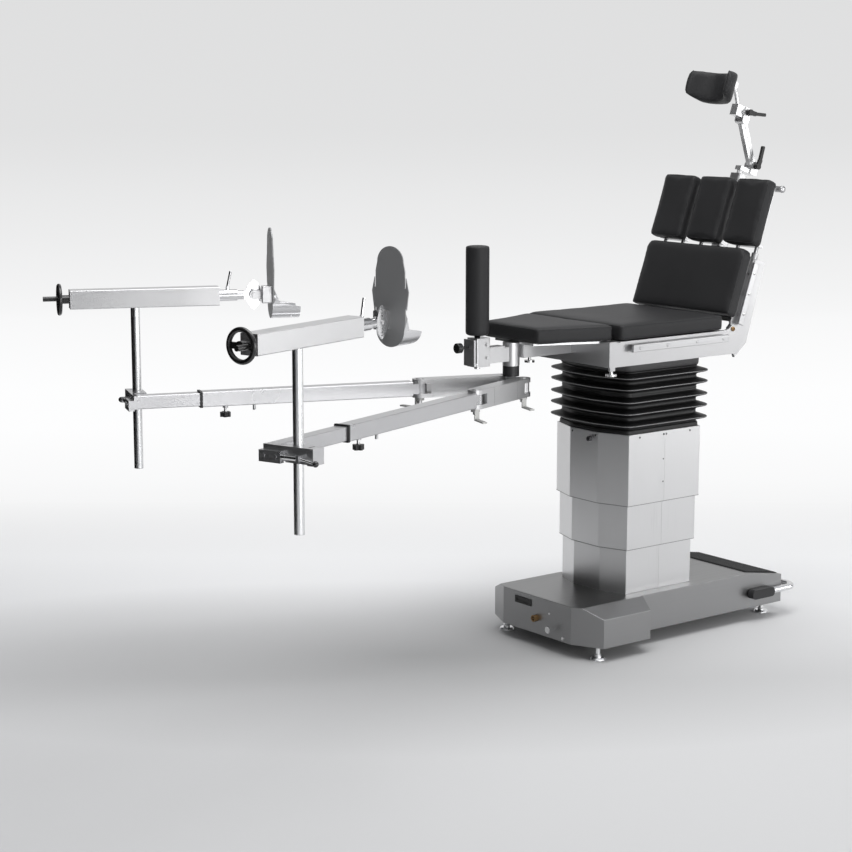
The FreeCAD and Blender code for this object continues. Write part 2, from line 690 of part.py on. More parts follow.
def raise_back(shape):
    """Turns a shape drawn flat behind the hinge up to the shown angle."""
    shape.translate(V(HINGE[0], 0, HINGE[1]))
    shape.rotate(V(HINGE[0], 0, HINGE[1]), V(0, -1, 0), BACK_ANGLE)
    return shape


def make_back_frame():
    """Side plates with tails, cross plates, rails, stem and crossbar."""
    y0, y1 = BACK_PLATE_Y
    face = BACK_PAD_TOP - BACK_PAD_T
    tail = [(-90, -56), (-34, -8), (-11, 8), (9, 8), (16, 4), (24, face),
            (264, face), (266, -82), (-26, -94)]
    plate = prism_y(tail, -y1, -y0)
    plate = plate.cut(rod(0, -y1 - 1, 0, (0, 1, 0), HINGE_PIN_R + PIN_FIT, 20))
    deck = box(24, 264, -y0, y0, face - 6, face)
    ribs = [box(60, 68, -y0, y0, -70, face - 6), box(250, 258, -y0, y0, -82, face - 6)]
    stem = box(68, SHOULDER_X[1] + 36, -STEM_HALF, STEM_HALF, STEM_Z[0], STEM_Z[1])
    stem = round_along(stem, (1, 0, 0), 6)
    bar = rod(CROSSBAR_X, -CROSSBAR_HALF, STEM_Z[1] - 14, (0, 1, 0), CROSSBAR_R,
              2 * CROSSBAR_HALF)
    rail_y = y1 + 9
    rail = box(23, 246, -rail_y - RAIL_T, -rail_y, -38, -38 + RAIL_H)
    studs = [rod(x, -rail_y, -25.5, (0, 1, 0), 7, rail_y - y1) for x in (60, 134, 208)]
    rails = fuse([rail] + studs)
    sockets = []
    for i in (-1, 0, 1):
        for s in (-1, 1):
            y = i * SHOULDER_PITCH + s * PEG_Y
            sockets.append(rod(258, y, PEG_Z, (1, 0, 0), PEG_R + 5, 22))
    parts = [plate, mirrored(plate), deck, stem, bar, rails, mirrored(rails)]
    frame = fuse(parts + ribs + sockets)
    bores = []
    for i in (-1, 0, 1):
        for s in (-1, 1):
            y = i * SHOULDER_PITCH + s * PEG_Y
            bores.append(rod(200, y, PEG_Z, (1, 0, 0), PEG_R + PIN_FIT, 100))
    depth = HEAD_POST_X - HEAD_ROD - 1
    bores.append(rod(depth, 0, STEM_Z[0] + 20, (1, 0, 0), HEAD_ROD_R + PIN_FIT, HEAD_ROD))
    return raise_back(cut(frame, bores))


def make_back_pad():
    x0, x1 = BACK_PAD_X
    low = BACK_PAD_TOP - BACK_PAD_T
    pad = prism_z(rect(x0, x1, -PAD_HALF, PAD_HALF), low, BACK_PAD_TOP)
    pad = round_along(pad, (0, 0, 1), 34, lambda c: c.x > x1 - 1)
    pad = round_along(pad, (0, 0, 1), 10, lambda c: c.x < x0 + 1)
    rims = [e for e in pad.Edges if abs(e.BoundBox.ZMax - e.BoundBox.ZMin) < 1e-6]
    return raise_back(pad.makeFillet(7, rims))


def make_shoulder_pad(index):
    """Removable shoulder section: pad, backing plate and two pegs."""
    x0, x1 = SHOULDER_X
    y = index * SHOULDER_PITCH
    half = SHOULDER_W / 2
    low = SHOULDER_TOP - SHOULDER_T
    pad = soft_block(rect(x0, x1, y - half, y + half), low, SHOULDER_TOP, 16, 9)
    shelf = box(x0 + 6, x1 - 20, y - half + 16, y + half - 16, low - 6, low)
    heel = box(x0 + 6, x0 + 16, y - 60, y + 60, PEG_Z - 12, low)
    pegs = [rod(206, y + s * PEG_Y, PEG_Z, (1, 0, 0), PEG_R, x0 + 12 - 206) for s in (-1, 1)]
    return raise_back(fuse([pad, shelf, heel] + pegs))


# Headrest

def make_head_post():
    """Sliding post with the lower joint fork."""
    x, z = HEAD_POST_X, HEAD_POST_Z
    rod_z = STEM_Z[0] + 20
    slide = rod(x - HEAD_ROD, 0, rod_z, (1, 0, 0), HEAD_ROD_R, HEAD_ROD - 20)
    neck = box(x - 32, x - 17, -14, 14, z - 12, rod_z + 12)
    base = box(x - 32, x - 20, -20, 20, z - 16, z + 16)
    pin = rod(x, -30, z, (0, 1, 0), HEAD_PIN_R, 50)
    return raise_back(fuse([slide, neck, base, pin] + fork(x - 32, x + 16, z, 1)))


def fork(x0, x1, z, nose):
    """Two cheeks with the rounded end towards the nose side."""
    cheeks = []
    for y0, y1 in ((-20, -12), (12, 20)):
        cheek = box(x0, x1, y0, y1, z - 16, z + 16)
        middle = (x0 + x1) / 2
        cheeks.append(round_along(cheek, (0, 1, 0), 12, lambda c: (c.x - middle) * nose > 0))
    return cheeks


def slanted_bar(x0, z0, x1, z1, half_y, half_h):
    length = hypot(x1 - x0, z1 - z0)
    bar = box(0, length, -half_y, half_y, -half_h, half_h)
    bar.rotate(V(0, 0, 0), V(0, -1, 0), degrees(atan2(z1 - z0, x1 - x0)))
    bar.translate(V(x0, 0, z0))
    return bar


def make_head_arm():
    """Clamp arm between the lower and the upper headrest joint."""
    x0, z0 = HEAD_POST_X, HEAD_POST_Z
    x1, z1 = HEAD_TOP_X, HEAD_TOP_Z
    bar = slanted_bar(x0, z0, x1, z1, 9, 14)
    groove = slanted_bar(x0 + 20, z0 + 17, x1 - 12, z1 - 9, 3, 3)
    arm = fuse([bar] + [rod(x, -11.7, z, (0, 1, 0), 16, 23.4) for x, z in ((x0, z0), (x1, z1))])
    sides = [groove.translated(V(0, s * 10.5, 0)) for s in (-1, 1)]
    bores = [rod(x, -30, z, (0, 1, 0), HEAD_PIN_R + PIN_FIT, 60)
             for x, z in ((x0, z0), (x1, z1))]
    return raise_back(cut(arm, sides + bores))


def clamp_handle(x, z, bend, reach):
    """Side clamp handle: hub on the clamp pin and a cranked, tapering grip."""
    hub = rod(x, -38, z, (0, 1, 0), 11, 17.5)
    root = slanted_bar(x, z, x + 0.35 * reach, z, 5, 8)
    grip = slanted_bar(x + 0.3 * reach, z, x + reach, z + 0.1 * reach, 5, 6)
    grip = round_along(grip, (0, 1, 0), 4)
    arm = fuse([root, grip])
    arm.rotate(V(x, 0, z), V(0, -1, 0), bend)
    arm.translate(V(0, -33, 0))
    handle = fuse([hub, arm])
    return raise_back(handle.cut(rod(x, -30, z, (0, 1, 0), HEAD_PIN_R + PIN_FIT, 12)))


def make_head_tube():
    """Curved carrier: fork on the arm, bent tube and the cushion pivot."""
    x, z = HEAD_TOP_X, HEAD_TOP_Z
    cx, cz = HEAD_PIVOT
    lx, lz = HEAD_LEVER
    cheeks = fork(x - 14, x + 44, z, -1)
    bridge = box(x + 21, x + 44, -20, 20, z - 16, z + 16)
    step = box(x + 4, x + 26, -16, 16, z + 20, z + 52)
    riser = box(x + 18, x + 44, -16, 16, z + 12, z + 52)
    pins = [rod(x, -20, z, (0, 1, 0), HEAD_PIN_R, 40)]
    pins.append(rod(lx, -30, lz, (0, 1, 0), HEAD_PIN_R, 14))
    path = [V(x + 36, 0, z + 34), V(cx - 34, 0, z + 54), V(cx - 8, 0, cz - 16), V(cx, 0, cz)]
    curve = Part.BSplineCurve()
    curve.interpolate(path)
    ring = Part.Wire(Part.makeCircle(8, path[0], V(*curve.tangent(0)[0])))
    spine = Part.Wire(curve.toShape())
    tube = spine.makePipeShell([ring], True, False)
    eye = rod(cx, -12, cz, (0, 1, 0), 13, 24)
    shape = fuse([bridge, step, riser, tube, eye] + pins + cheeks)
    return raise_back(shape.cut(rod(cx, -30, cz, (0, 1, 0), 5 + PIN_FIT, 60)))


def cushion_section():
    """Horseshoe section of the head cushion, open towards the head."""
    half, deep, wall = CUSHION_HALF, CUSHION_DEEP, CUSHION_WALL
    tip = 30.0
    low = CUSHION_Z
    x = CUSHION_X - CUSHION_HIGH / 2
    crown = deep - tip / 2
    a, b = V(x, -half, low + crown), V(x, half, low + crown)
    c, d = V(x, half - tip, low + crown), V(x, -half + tip, low + crown)
    edges = [Part.Arc(a, V(x, 0, low), b).toShape()]
    edges.append(Part.Arc(b, V(x, half - tip / 2, low + deep), c).toShape())
    edges.append(Part.Arc(c, V(x, 0, low + wall), d).toShape())
    edges.append(Part.Arc(d, V(x, -half + tip / 2, low + deep), a).toShape())
    return Part.Face(Part.Wire(edges))


def make_head_cushion():
    """Horseshoe cushion on a back plate with two pivot ears."""
    cx, cz = HEAD_PIVOT
    half, low = CUSHION_HALF, CUSHION_Z
    x0, x1 = CUSHION_X - CUSHION_HIGH / 2, CUSHION_X + CUSHION_HIGH / 2
    band = cushion_section().extrude(V(CUSHION_HIGH, 0, 0))
    outline = prism_z(rect(x0, x1, -half - 1, half + 1), low - 5, low + CUSHION_DEEP + 5)
    outline = round_along(outline, (0, 0, 1), CUSHION_ROUND)
    cushion = band.common(outline)
    plate = box(x0 + 24, x1 - 20, -30, 30, low - 4, low + 8)
    ears = []
    for y0, y1 in ((-18, -12.3), (12.3, 18)):
        ear = box(cx - 13, cx + 13, y0, y1, cz - 13, low + 4)
        ears.append(round_along(ear, (0, 1, 0), 11, lambda c: c.z < cz))
    pin = rod(cx, -18, cz, (0, 1, 0), 5, 36)
    return raise_back(fuse([cushion, plate, pin] + ears))


# Traction arms

def place_arm(shape, side):
    """Moves a shape from the arm's own frame to its side of the table."""
    shape.rotate(V(0, 0, 0), V(0, 0, 1), 180 + ARM_ANGLE)
    shape.translate(V(ARM_PIVOT[0], -ARM_PIVOT[1], 0))
    return mirrored(shape) if side == "left" else shape


def clevis(shape, x, reach_in, reach_out):
    z0, z1 = TONGUE_Z
    half = LINK_HALF + 6
    return shape.cut(box(x - reach_in, x + reach_out, -half, half, z0 - LUG_GAP, z1 + LUG_GAP))


def make_link(side):
    """First arm member: forked at both ends, with fixed pivot pins."""
    z0, z1 = LINK_Z
    bar = box(0, LINK_LEN, -LINK_HALF, LINK_HALF, z0, z1)
    for x in (0, LINK_LEN):
        bar = bar.fuse(rod(x, 0, z0, (0, 0, 1), LINK_HALF, z1 - z0))
    bar = clevis(bar.removeSplitter(), 0, 40, 30)
    bar = clevis(bar, LINK_LEN, 32, 40)
    grooves = []
    for x in (78.0, 225.0):
        for s in (-1, 1):
            grooves.append(box(x, x + 1.2, s * LINK_HALF - 0.8, s * LINK_HALF + 0.8, z0, z1))
    bar = cut(bar, grooves)
    for x in (0, LINK_LEN):
        bar = bar.fuse(rod(x, 0, z0 - 20, (0, 0, 1), ARM_PIN_R, z1 - z0 + 20))
        bar = bar.fuse(rod(x, 0, z1, (0, 0, 1), 13, 1.8))
    return place_arm(bar.removeSplitter(), side)


def make_pin_lever(x, side):
    """Cranked clamp lever on the lower end of a pivot pin."""
    top = LINK_Z[0] - 0.5
    hub = rod(x, 0, top - 10, (0, 0, 1), 15, 10)
    drop = box(x - 8, x + 8, 10, 15, top - 34, top - 4)
    blade = box(x - 8, x + 8, 10, 78, top - 38, top - 33)
    lever = fuse([hub, drop, blade])
    lever = lever.cut(rod(x, 0, top - 60, (0, 0, 1), ARM_PIN_R + PIN_FIT, 80))
    lever.rotate(V(x, 0, 0), V(0, 0, 1), -35)
    return place_arm(lever, side)


def square_tube(x0, x1, half, wall, z_mid):
    outer = box(x0, x1, -half, half, z_mid - half, z_mid + half)
    outer = round_along(outer, (1, 0, 0), 3)
    inner = half - wall
    return outer.cut(box(x0 - 1, x1 + 1, -inner, inner, z_mid - inner, z_mid + inner))


def make_outer_tube(side):
    """Second arm member: tongue, square tube and its end collar."""
    z_mid = (OUTER_Z[0] + OUTER_Z[1]) / 2
    start = LINK_LEN + LINK_HALF + 5
    tube = square_tube(start, OUTER_X, OUTER_HALF, TUBE_WALL, z_mid)
    z0, z1 = TONGUE_Z
    wide = LINK_HALF - 3
    tongue = box(LINK_LEN, start + 40, -OUTER_HALF + TUBE_WALL, OUTER_HALF - TUBE_WALL, z0, z1)
    eye = rod(LINK_LEN, 0, z0, (0, 0, 1), wide, z1 - z0)
    cap = box(start, start + 6, -OUTER_HALF + 1, OUTER_HALF - 1, OUTER_Z[0] + 1, OUTER_Z[1] - 1)
    collar = square_tube(OUTER_X, OUTER_X + RING_T, OUTER_HALF + 2, TUBE_WALL + 2, z_mid)
    boss = rod(OUTER_X - 79, 0, OUTER_Z[0] - 8, (0, 0, 1), 9, 8 + TUBE_WALL)
    stop = rod(870, 0, OUTER_Z[0] - 20, (0, 0, 1), 5, 20 + TUBE_WALL)
    whole = fuse([tube, tongue, eye, cap, collar, boss, stop])
    holes = [rod(LINK_LEN, 0, 800, (0, 0, 1), ARM_PIN_R + PIN_FIT, 300)]
    holes.append(rod(OUTER_X - 79, 0, OUTER_Z[0] - 9, (0, 0, 1), 5 + PIN_FIT, 9 + 2 * TUBE_WALL))
    return place_arm(cut(whole, holes), side)


def make_star_knob(side):
    """Five-lobed knob that locks the sliding tube."""
    x = OUTER_X - 79
    z = OUTER_Z[0] - 8
    stem = rod(x, 0, z - 14, (0, 0, 1), 5, 14 + 8 + TUBE_WALL - 0.5)
    head = rod(x, 0, z - 30, (0, 0, 1), 13, 16)
    lobes = []
    for i in range(5):
        turn = radians(72 * i)
        lobes.append(rod(x + 12 * cos(turn), 12 * sin(turn), z - 30, (0, 0, 1), 6, 16))
    return place_arm(fuse([stem, head] + lobes), side)


def cam_axis(side):
    """Place of the cam screw in front of the rod clamp."""
    front = ROD_AT[side] + CLAMP_WALL + CLAMP_BAR
    return front + 10.5, (OUTER_Z[0] + OUTER_Z[1]) / 2 - 8


def make_inner_tube(side):
    """Sliding tube with the offset split block that grips the upright rod."""
    at = ROD_AT[side]
    z_mid = (OUTER_Z[0] + OUTER_Z[1]) / 2
    half = OUTER_HALF - TUBE_WALL - SLIDE_FIT
    end = at + CLAMP_WALL
    start = end - (ROD_AT["right"] + CLAMP_WALL - OUTER_X + INSERT_NEAR)
    tube = square_tube(start, end, half, INNER_WALL, z_mid)
    z0, z1 = z_mid - half, z_mid + half
    front = end + CLAMP_BAR
    bar = box(end, front, -half, 129, z0, z1)
    block = box(at - 24, end, ROD_OUT - 34, 124, z0 - 6, z1)
    cheek = box(at - 24, front, 129.5, 150, z0 - 6, z1)
    bridge = box(at - 24, at - 12, 124, 150, z0 - 6, z1)
    neck = box(at - 24, end, half - 1, ROD_OUT - 33, z0 + 4, z1 - 4)
    x, z = cam_axis(side)
    face = box(front, front + 18, -half - 3, 50, z0 - 5, z1 - 14)
    ear = box(front, front + 19, 104, 114, z - 9, z + 9)
    whole = fuse([tube, bar, block, cheek, bridge, neck, face, ear])
    screws = [rod(front + 18, y, z_mid - 8, (1, 0, 0), 6, 1.5) for y in (-10, 32)]
    whole = fuse([whole] + screws)
    bore = rod(at, ROD_OUT, 800, (0, 0, 1), ROD_R + PIN_FIT, 300)
    hole = rod(x, 36, z, (0, 1, 0), CAM_PIN_R + PIN_FIT, 90)
    return place_arm(cut(whole, [bore, hole]), side)


def make_rod_clamp_lever(side):
    """Cam screw across the split block with its ball lever."""
    x, z = cam_axis(side)
    screw = rod(x, 38, z, (0, 1, 0), CAM_PIN_R, 80)
    bush = rod(x, 50.5, z, (0, 1, 0), 7.5, 13)
    barrel = rod(x, 63.5, z, (0, 1, 0), 7, 40)
    arm = rod(x, 116, z, (0, 1, -0.18), 3.5, 46)
    ball = Part.makeSphere(9, V(x, 166, z - 9))
    return place_arm(fuse([screw, bush, barrel, arm, ball]), side)


def make_upright(side):
    at = ROD_AT[side]
    low, high = ROD_Z
    bar = rod(at, ROD_OUT, low, (0, 0, 1), ROD_R, high - low)
    spigot = rod(at, ROD_OUT, high, (0, 0, 1), 9, 22)
    return place_arm(fuse([bar, spigot]), side)


def place_unit(shape, side):
    """Moves a shape from the traction unit's frame on to its upright rod."""
    shape.rotate(V(0, 0, 0), V(0, 0, 1), 180 + UNIT_TURN[side])
    shape.translate(V(ROD_AT[side], ROD_OUT, UNIT_AXIS_Z))
    return place_arm(shape, side)


def make_unit_housing(side):
    """Square traction housing with its screw bore and swivel socket."""
    h = UNIT_H / 2
    shell = box(-UNIT_BACK, UNIT_FRONT, -h, h, -h, h)
    shell = round_along(shell, (1, 0, 0), 3)
    bore = rod(0, 0, 0, (1, 0, 0), SPINDLE_R + SPINDLE_FIT, UNIT_FRONT + 1)
    shaft = rod(-UNIT_BACK - 1, 0, 0, (1, 0, 0), 8 + PIN_FIT, UNIT_BACK)
    socket = rod(0, 0, -h - 1, (0, 0, 1), 9 + PIN_FIT, 24)
    return place_unit(cut(shell, [bore, shaft, socket]), side)


def make_handwheel(side):
    """Rimmed wheel with a two-spoke web, crank handle and lead screw shaft."""
    x = WHEEL_AT
    rim = Part.makeTorus(WHEEL_R - 7, 7, V(x, 0, 0), V(1, 0, 0))
    band = rod(x - 4, 0, 0, (1, 0, 0), WHEEL_R - 5, 8)
    band = band.cut(rod(x - 5, 0, 0, (1, 0, 0), WHEEL_R - 14, 10))
    spoke = box(x - 4, x + 4, -WHEEL_R + 10, WHEEL_R - 10, -9, 9)
    hub = rod(x - 9, 0, 0, (1, 0, 0), 14, 8.5 - UNIT_BACK - x)
    crank = rod(x - 50, -24, 0, (1, 0, 0), 8, 46)
    shaft = rod(x, 0, 0, (1, 0, 0), 8, -20 - x)
    wheel = fuse([rim, band, spoke, hub, crank, shaft])
    return place_unit(wheel, side)


def make_spindle(side):
    """Traction spindle driven out of the housing, with its swivel lock lever."""
    body = rod(60, 0, 0, (1, 0, 0), SPINDLE_R, SPINDLE_END - 60)
    body = body.cut(rod(SPINDLE_END - 28, 0, 0, (1, 0, 0), 10 + PIN_FIT, 30))
    boss = rod(UNIT_FRONT + 30, 0, SPINDLE_R - 2, (0, 0, 1), 6, 12)
    stalk = rod(UNIT_FRONT + 30, 0, SPINDLE_R + 8, (0.22, 0, 1), 4.5, 52)
    return place_unit(fuse([body, boss, stalk]), side)


def make_foot_joint(side):
    """Roll shaft, quadrant plate and tang that carry the foot plate."""
    shaft = rod(SPINDLE_END - 26, 0, 0, (1, 0, 0), 10, 30)
    head = rod(SPINDLE_END + 0.5, 0, 0, (1, 0, 0), 15, 22)
    tang = box(SPINDLE_END + 20, TILT_AT, -5, 5, -13, 13)
    eye = rod(TILT_AT, -5, 0, (0, 1, 0), 16, 10)
    lens = rod(TILT_AT - 34, -10, 0, (0, 1, 0), 60, 5)
    lens = lens.common(rod(TILT_AT + 34, -10, 0, (0, 1, 0), 60, 5))
    holes = []
    for i in (-4, -3, -2, 2, 3, 4):
        holes.append(rod(TILT_AT - 0.12 * i * i, -12, 9.5 * i, (0, 1, 0), 2.8, 10))
    lens = cut(lens, holes)
    whole = fuse([shaft, head, tang, eye, lens])
    return place_unit(whole.cut(rod(TILT_AT, -20, 0, (0, 1, 0), 6 + PIN_FIT, 40)), side)


def sole_outline(grow=0.0):
    """Closed foot-shaped wire in the plane of the sole."""
    low = -HEEL_DROP - grow
    high = SOLE_LEN - HEEL_DROP + grow
    h = SOLE_HALF + grow
    m = 46.0 + grow
    top = high - m
    waist = 85.0
    heel = 50.0 + grow
    turn = low + heel
    c = cos(radians(45))
    left = V(SOLE_AT, -m, top)
    right = V(SOLE_AT, m, top)
    edges = [Part.Arc(left, V(SOLE_AT, 0, high), right).toShape()]
    edges.append(Part.makeLine(right, V(SOLE_AT, h, waist)))
    edges.append(Part.makeLine(V(SOLE_AT, h, waist), V(SOLE_AT, heel, turn)))
    edges.append(Part.Arc(V(SOLE_AT, heel, turn), V(SOLE_AT, 0, low),
                          V(SOLE_AT, -heel, turn)).toShape())
    edges.append(Part.makeLine(V(SOLE_AT, -heel, turn), V(SOLE_AT, -h, waist)))
    edges.append(Part.makeLine(V(SOLE_AT, -h, waist), left))
    return Part.Wire(edges)


def make_foot_plate(side):
    """Foot-shaped plate with strap slots and a wrapped heel cup."""
    sole = Part.Face(sole_outline()).extrude(V(SOLE_T, 0, 0))
    wall = Part.Face(sole_outline()).extrude(V(HEEL_DEPTH, 0, 0))
    wall = wall.cut(Part.Face(sole_outline(-SOLE_T)).extrude(V(HEEL_DEPTH, 0, 0)))
    keep = prism_y([(SOLE_AT, -200), (SOLE_AT + HEEL_DEPTH, -200),
                    (SOLE_AT + HEEL_DEPTH, -38), (SOLE_AT + 26, -26), (SOLE_AT, 30)], -90, 90)
    cup = wall.common(keep)
    slots = []
    for y in (-54, 54):
        slots.append(box(SOLE_AT - 5, SOLE_AT + 10, y - 2, y + 2, 96, 150))
        slots.append(box(SOLE_AT - 5, SOLE_AT + 10, y - 4, y, -14, 36))
    slots.append(box(SOLE_AT + 62, SOLE_AT + 67, -30, 30, -90, -60))
    plate = cut(fuse([sole, cup]), slots)
    block = box(SOLE_AT - 30, SOLE_AT, 5.3, 40, -26, 30)
    block = round_along(block, (1, 0, 0), 4)
    arm = box(TILT_AT, SOLE_AT - 29, 5.3, 15, -14, 14)
    eye = rod(TILT_AT, 5.3, 0, (0, 1, 0), 16, 9.7)
    pin = rod(TILT_AT, -13, 0, (0, 1, 0), 6, 20)
    nut = rod(TILT_AT, 15, 0, (0, 1, 0), 9, 5)
    return place_unit(fuse([plate, block, arm, eye, pin, nut]), side)


def build_base():
    save(make_base_chassis(), "base_chassis")
    save(make_base_cover(), "base_cover")
    save(make_base_skirt(), "base_skirt")
    save(make_feet(), "leveling_feet")
    save(make_deck_mat(), "deck_mat")
    save(make_panel_fittings(), "panel_fittings")
    save(make_pedal_bar(), "pedal_bar")
    save(make_pedal_grips(), "pedal_grips")


def build_column():
    save(make_cover(0.0, COVER_LOWER_Z, True), "cover_lower")
    save(make_cover(COVER_STEP, COVER_MIDDLE_Z, True), "cover_middle")
    save(make_cover_upper(), "cover_upper")
    save(make_mast_inner(), "mast_inner")
    save(make_gimbal(), "gimbal")
    save(make_bellows(), "bellows")


def build_table():
    save(make_table_frame(), "table_frame")
    save(make_side_rails(), "side_rails")
    save(make_main_pad(), "main_pad")
    save(make_pelvic_pad(), "pelvic_pad")
    save(make_leg_beam(), "leg_beam")
    save(make_frame_knob("right"), "frame_knob_right")
    save(make_frame_knob("left"), "frame_knob_left")
    save(make_perineal_post(), "perineal_post")
    save(make_post_knob(), "post_knob")


def build_back():
    save(make_back_frame(), "back_frame")
    save(make_back_pad(), "back_pad")
    for index, name in ((-1, "right"), (0, "middle"), (1, "left")):
        save(make_shoulder_pad(index), "shoulder_pad_" + name)
    save(make_head_post(), "head_post")
    save(make_head_arm(), "head_arm")
    save(clamp_handle(HEAD_POST_X, HEAD_POST_Z, -5, 76), "head_lever_low")
    save(clamp_handle(*HEAD_LEVER, -84, 76), "head_lever_top")
    save(make_head_tube(), "head_tube")
    save(make_head_cushion(), "head_cushion")


def build_arm(side):
    makers = (("link", make_link), ("outer_tube", make_outer_tube),
              ("star_knob", make_star_knob), ("inner_tube", make_inner_tube),
              ("clamp_lever", make_rod_clamp_lever), ("upright", make_upright),
              ("unit_housing", make_unit_housing), ("handwheel", make_handwheel),
              ("spindle", make_spindle), ("foot_joint", make_foot_joint),
              ("foot_plate", make_foot_plate))
    for name, maker in makers:
        save(maker(side), "%s_%s" % (name, side))
    save(make_pin_lever(0.0, side), "pivot_lever_" + side)
    save(make_pin_lever(LINK_LEN, side), "fork_lever_" + side)


os.makedirs("parts", exist_ok=True)
build_base()
build_column()
build_table()
build_back()
build_arm("right")
build_arm("left")
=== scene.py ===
import json
import math

import bmesh
import bpy
from mathutils import Matrix, Vector
from mathutils.bvhtree import BVHTree


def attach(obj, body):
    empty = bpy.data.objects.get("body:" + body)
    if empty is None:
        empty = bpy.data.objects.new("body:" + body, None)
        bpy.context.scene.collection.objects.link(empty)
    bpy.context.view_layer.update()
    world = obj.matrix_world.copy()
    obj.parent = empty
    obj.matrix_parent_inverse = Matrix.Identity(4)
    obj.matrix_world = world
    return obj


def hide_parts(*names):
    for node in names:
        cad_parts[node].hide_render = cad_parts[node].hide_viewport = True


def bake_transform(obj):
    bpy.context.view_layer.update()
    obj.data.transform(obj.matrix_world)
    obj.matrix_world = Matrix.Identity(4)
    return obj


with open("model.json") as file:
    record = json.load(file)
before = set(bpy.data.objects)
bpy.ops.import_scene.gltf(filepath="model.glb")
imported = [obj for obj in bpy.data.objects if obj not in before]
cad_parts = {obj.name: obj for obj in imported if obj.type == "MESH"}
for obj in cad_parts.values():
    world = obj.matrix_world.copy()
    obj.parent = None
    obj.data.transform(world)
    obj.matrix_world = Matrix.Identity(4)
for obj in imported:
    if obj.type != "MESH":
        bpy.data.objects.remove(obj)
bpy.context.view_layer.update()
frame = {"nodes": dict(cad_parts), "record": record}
NODES = frame["nodes"]

# All lengths are metres in the frame: origin on the floor under the column, +X to the head end,
# -Y to the side nearer to the camera. "Right" is the -Y side.

# Back section: hinge line and how far it is raised at rest
HINGE = Vector((0.272, 0.0, 1.087))
BACK_ANGLE = math.radians(70.6)
BACK_TURN = Matrix.Rotation(-BACK_ANGLE, 4, "Y")
BACK_RAIL_OUT = 0.2238
BACK_RAIL_LONG = 0.250

# Traction arm: pivot of the right arm and its direction at rest
ARM_PIVOT = Vector((-0.530, -0.0465, 0.0))
ARM_TURN = math.radians(199.6)
TUBE_END = 1.0445
KNOB_LOBES_TOP = 0.8875
BALL_FROM = 0.156
HEEL_FROM = 0.060
SOLE_BACK = 0.0525

# Hub of the leg beam and its rubber collar
HUB_AT = Vector((-0.543, 0.0, 0.0))
HUB_RUBBER_Z = (0.9670, 1.0032)
HUB_RUBBER_R = 0.0285

# Faces of the upper cover that lie outside its sheet are screw heads and the socket
COVER_SHEET_X = 0.2093
COVER_SHEET_Y = 0.1873

# Fittings on the foot panel: the round socket in the middle, the plugs beside it
SOCKET_HALF = 0.02
PLUGS_BELOW_Y = -0.055


def arm_local(side, point):
    """A point in the layout of a traction arm, with local +X along the arm."""
    x, y = point.x, point.y if side == "right" else -point.y
    return Matrix.Rotation(-ARM_TURN, 3, "Z") @ (Vector((x, y, point.z)) - ARM_PIVOT)


def back_point(x, y, z):
    """A point given in the back section's own flat layout, raised with it."""
    return HINGE + BACK_TURN @ Vector((x, y, z))


# Materials

class Shader:
    """A small helper that wires one node material."""

    def __init__(self, name):
        self.mat = bpy.data.materials.new(name)
        self.mat.use_nodes = True
        self.tree = self.mat.node_tree
        self.bsdf = self.tree.nodes["Principled BSDF"]
        self.coords = self.tree.nodes.new("ShaderNodeTexCoord").outputs["Object"]

    def node(self, kind, **inputs):
        made = self.tree.nodes.new(kind)
        for key, value in inputs.items():
            self.feed(made.inputs[key.replace("_", " ")], value)
        return made

    def feed(self, socket, value):
        if isinstance(value, bpy.types.NodeSocket):
            self.tree.links.new(value, socket)
        else:
            socket.default_value = value

    def set(self, **inputs):
        for key, value in inputs.items():
            self.feed(self.bsdf.inputs[key.replace("_", " ")], value)
        return self

    def noise(self, scale, stretch=(1, 1, 1), detail=3.0):
        mapping = self.node("ShaderNodeMapping", Vector=self.coords, Scale=stretch)
        made = self.node("ShaderNodeTexNoise", Vector=mapping.outputs["Vector"],
                         Scale=scale, Detail=detail)
        return made.outputs["Fac"]

    def span(self, value, low, high):
        """Remaps a value of 0 to 1 to the span from low to high."""
        made = self.node("ShaderNodeMapRange", Value=value, To_Min=low, To_Max=high)
        return made.outputs["Result"]

    def tint(self, value, dark, light):
        """Mixes two colours by a value of 0 to 1."""
        made = self.node("ShaderNodeMix")
        made.data_type = "RGBA"
        self.feed(made.inputs["Factor"], value)
        self.feed(made.inputs[6], (*dark, 1.0))
        self.feed(made.inputs[7], (*light, 1.0))
        return made.outputs[2]

    def bump(self, height, strength, distance, edge=0.0):
        """Raises the surface by a height, on edges that are shaded round if edge is given."""
        made = self.node("ShaderNodeBump", Height=height, Strength=strength, Distance=distance)
        if edge:
            rounded = self.node("ShaderNodeBevel", Radius=edge)
            rounded.samples = SOFT_EDGE_SAMPLES
            self.feed(made.inputs["Normal"], rounded.outputs["Normal"])
        self.feed(self.bsdf.inputs["Normal"], made.outputs["Normal"])
        return self


# Shaded round of brushed sheet at its folds, which catches the light as a thin bright line
SOFT_EDGE = 0.0035
SOFT_EDGE_SAMPLES = 4
EVEN = (1, 1, 1)


def shade(colour, factor):
    """A colour made darker or lighter, up to white."""
    return tuple(min(1.0, c * factor) for c in colour)


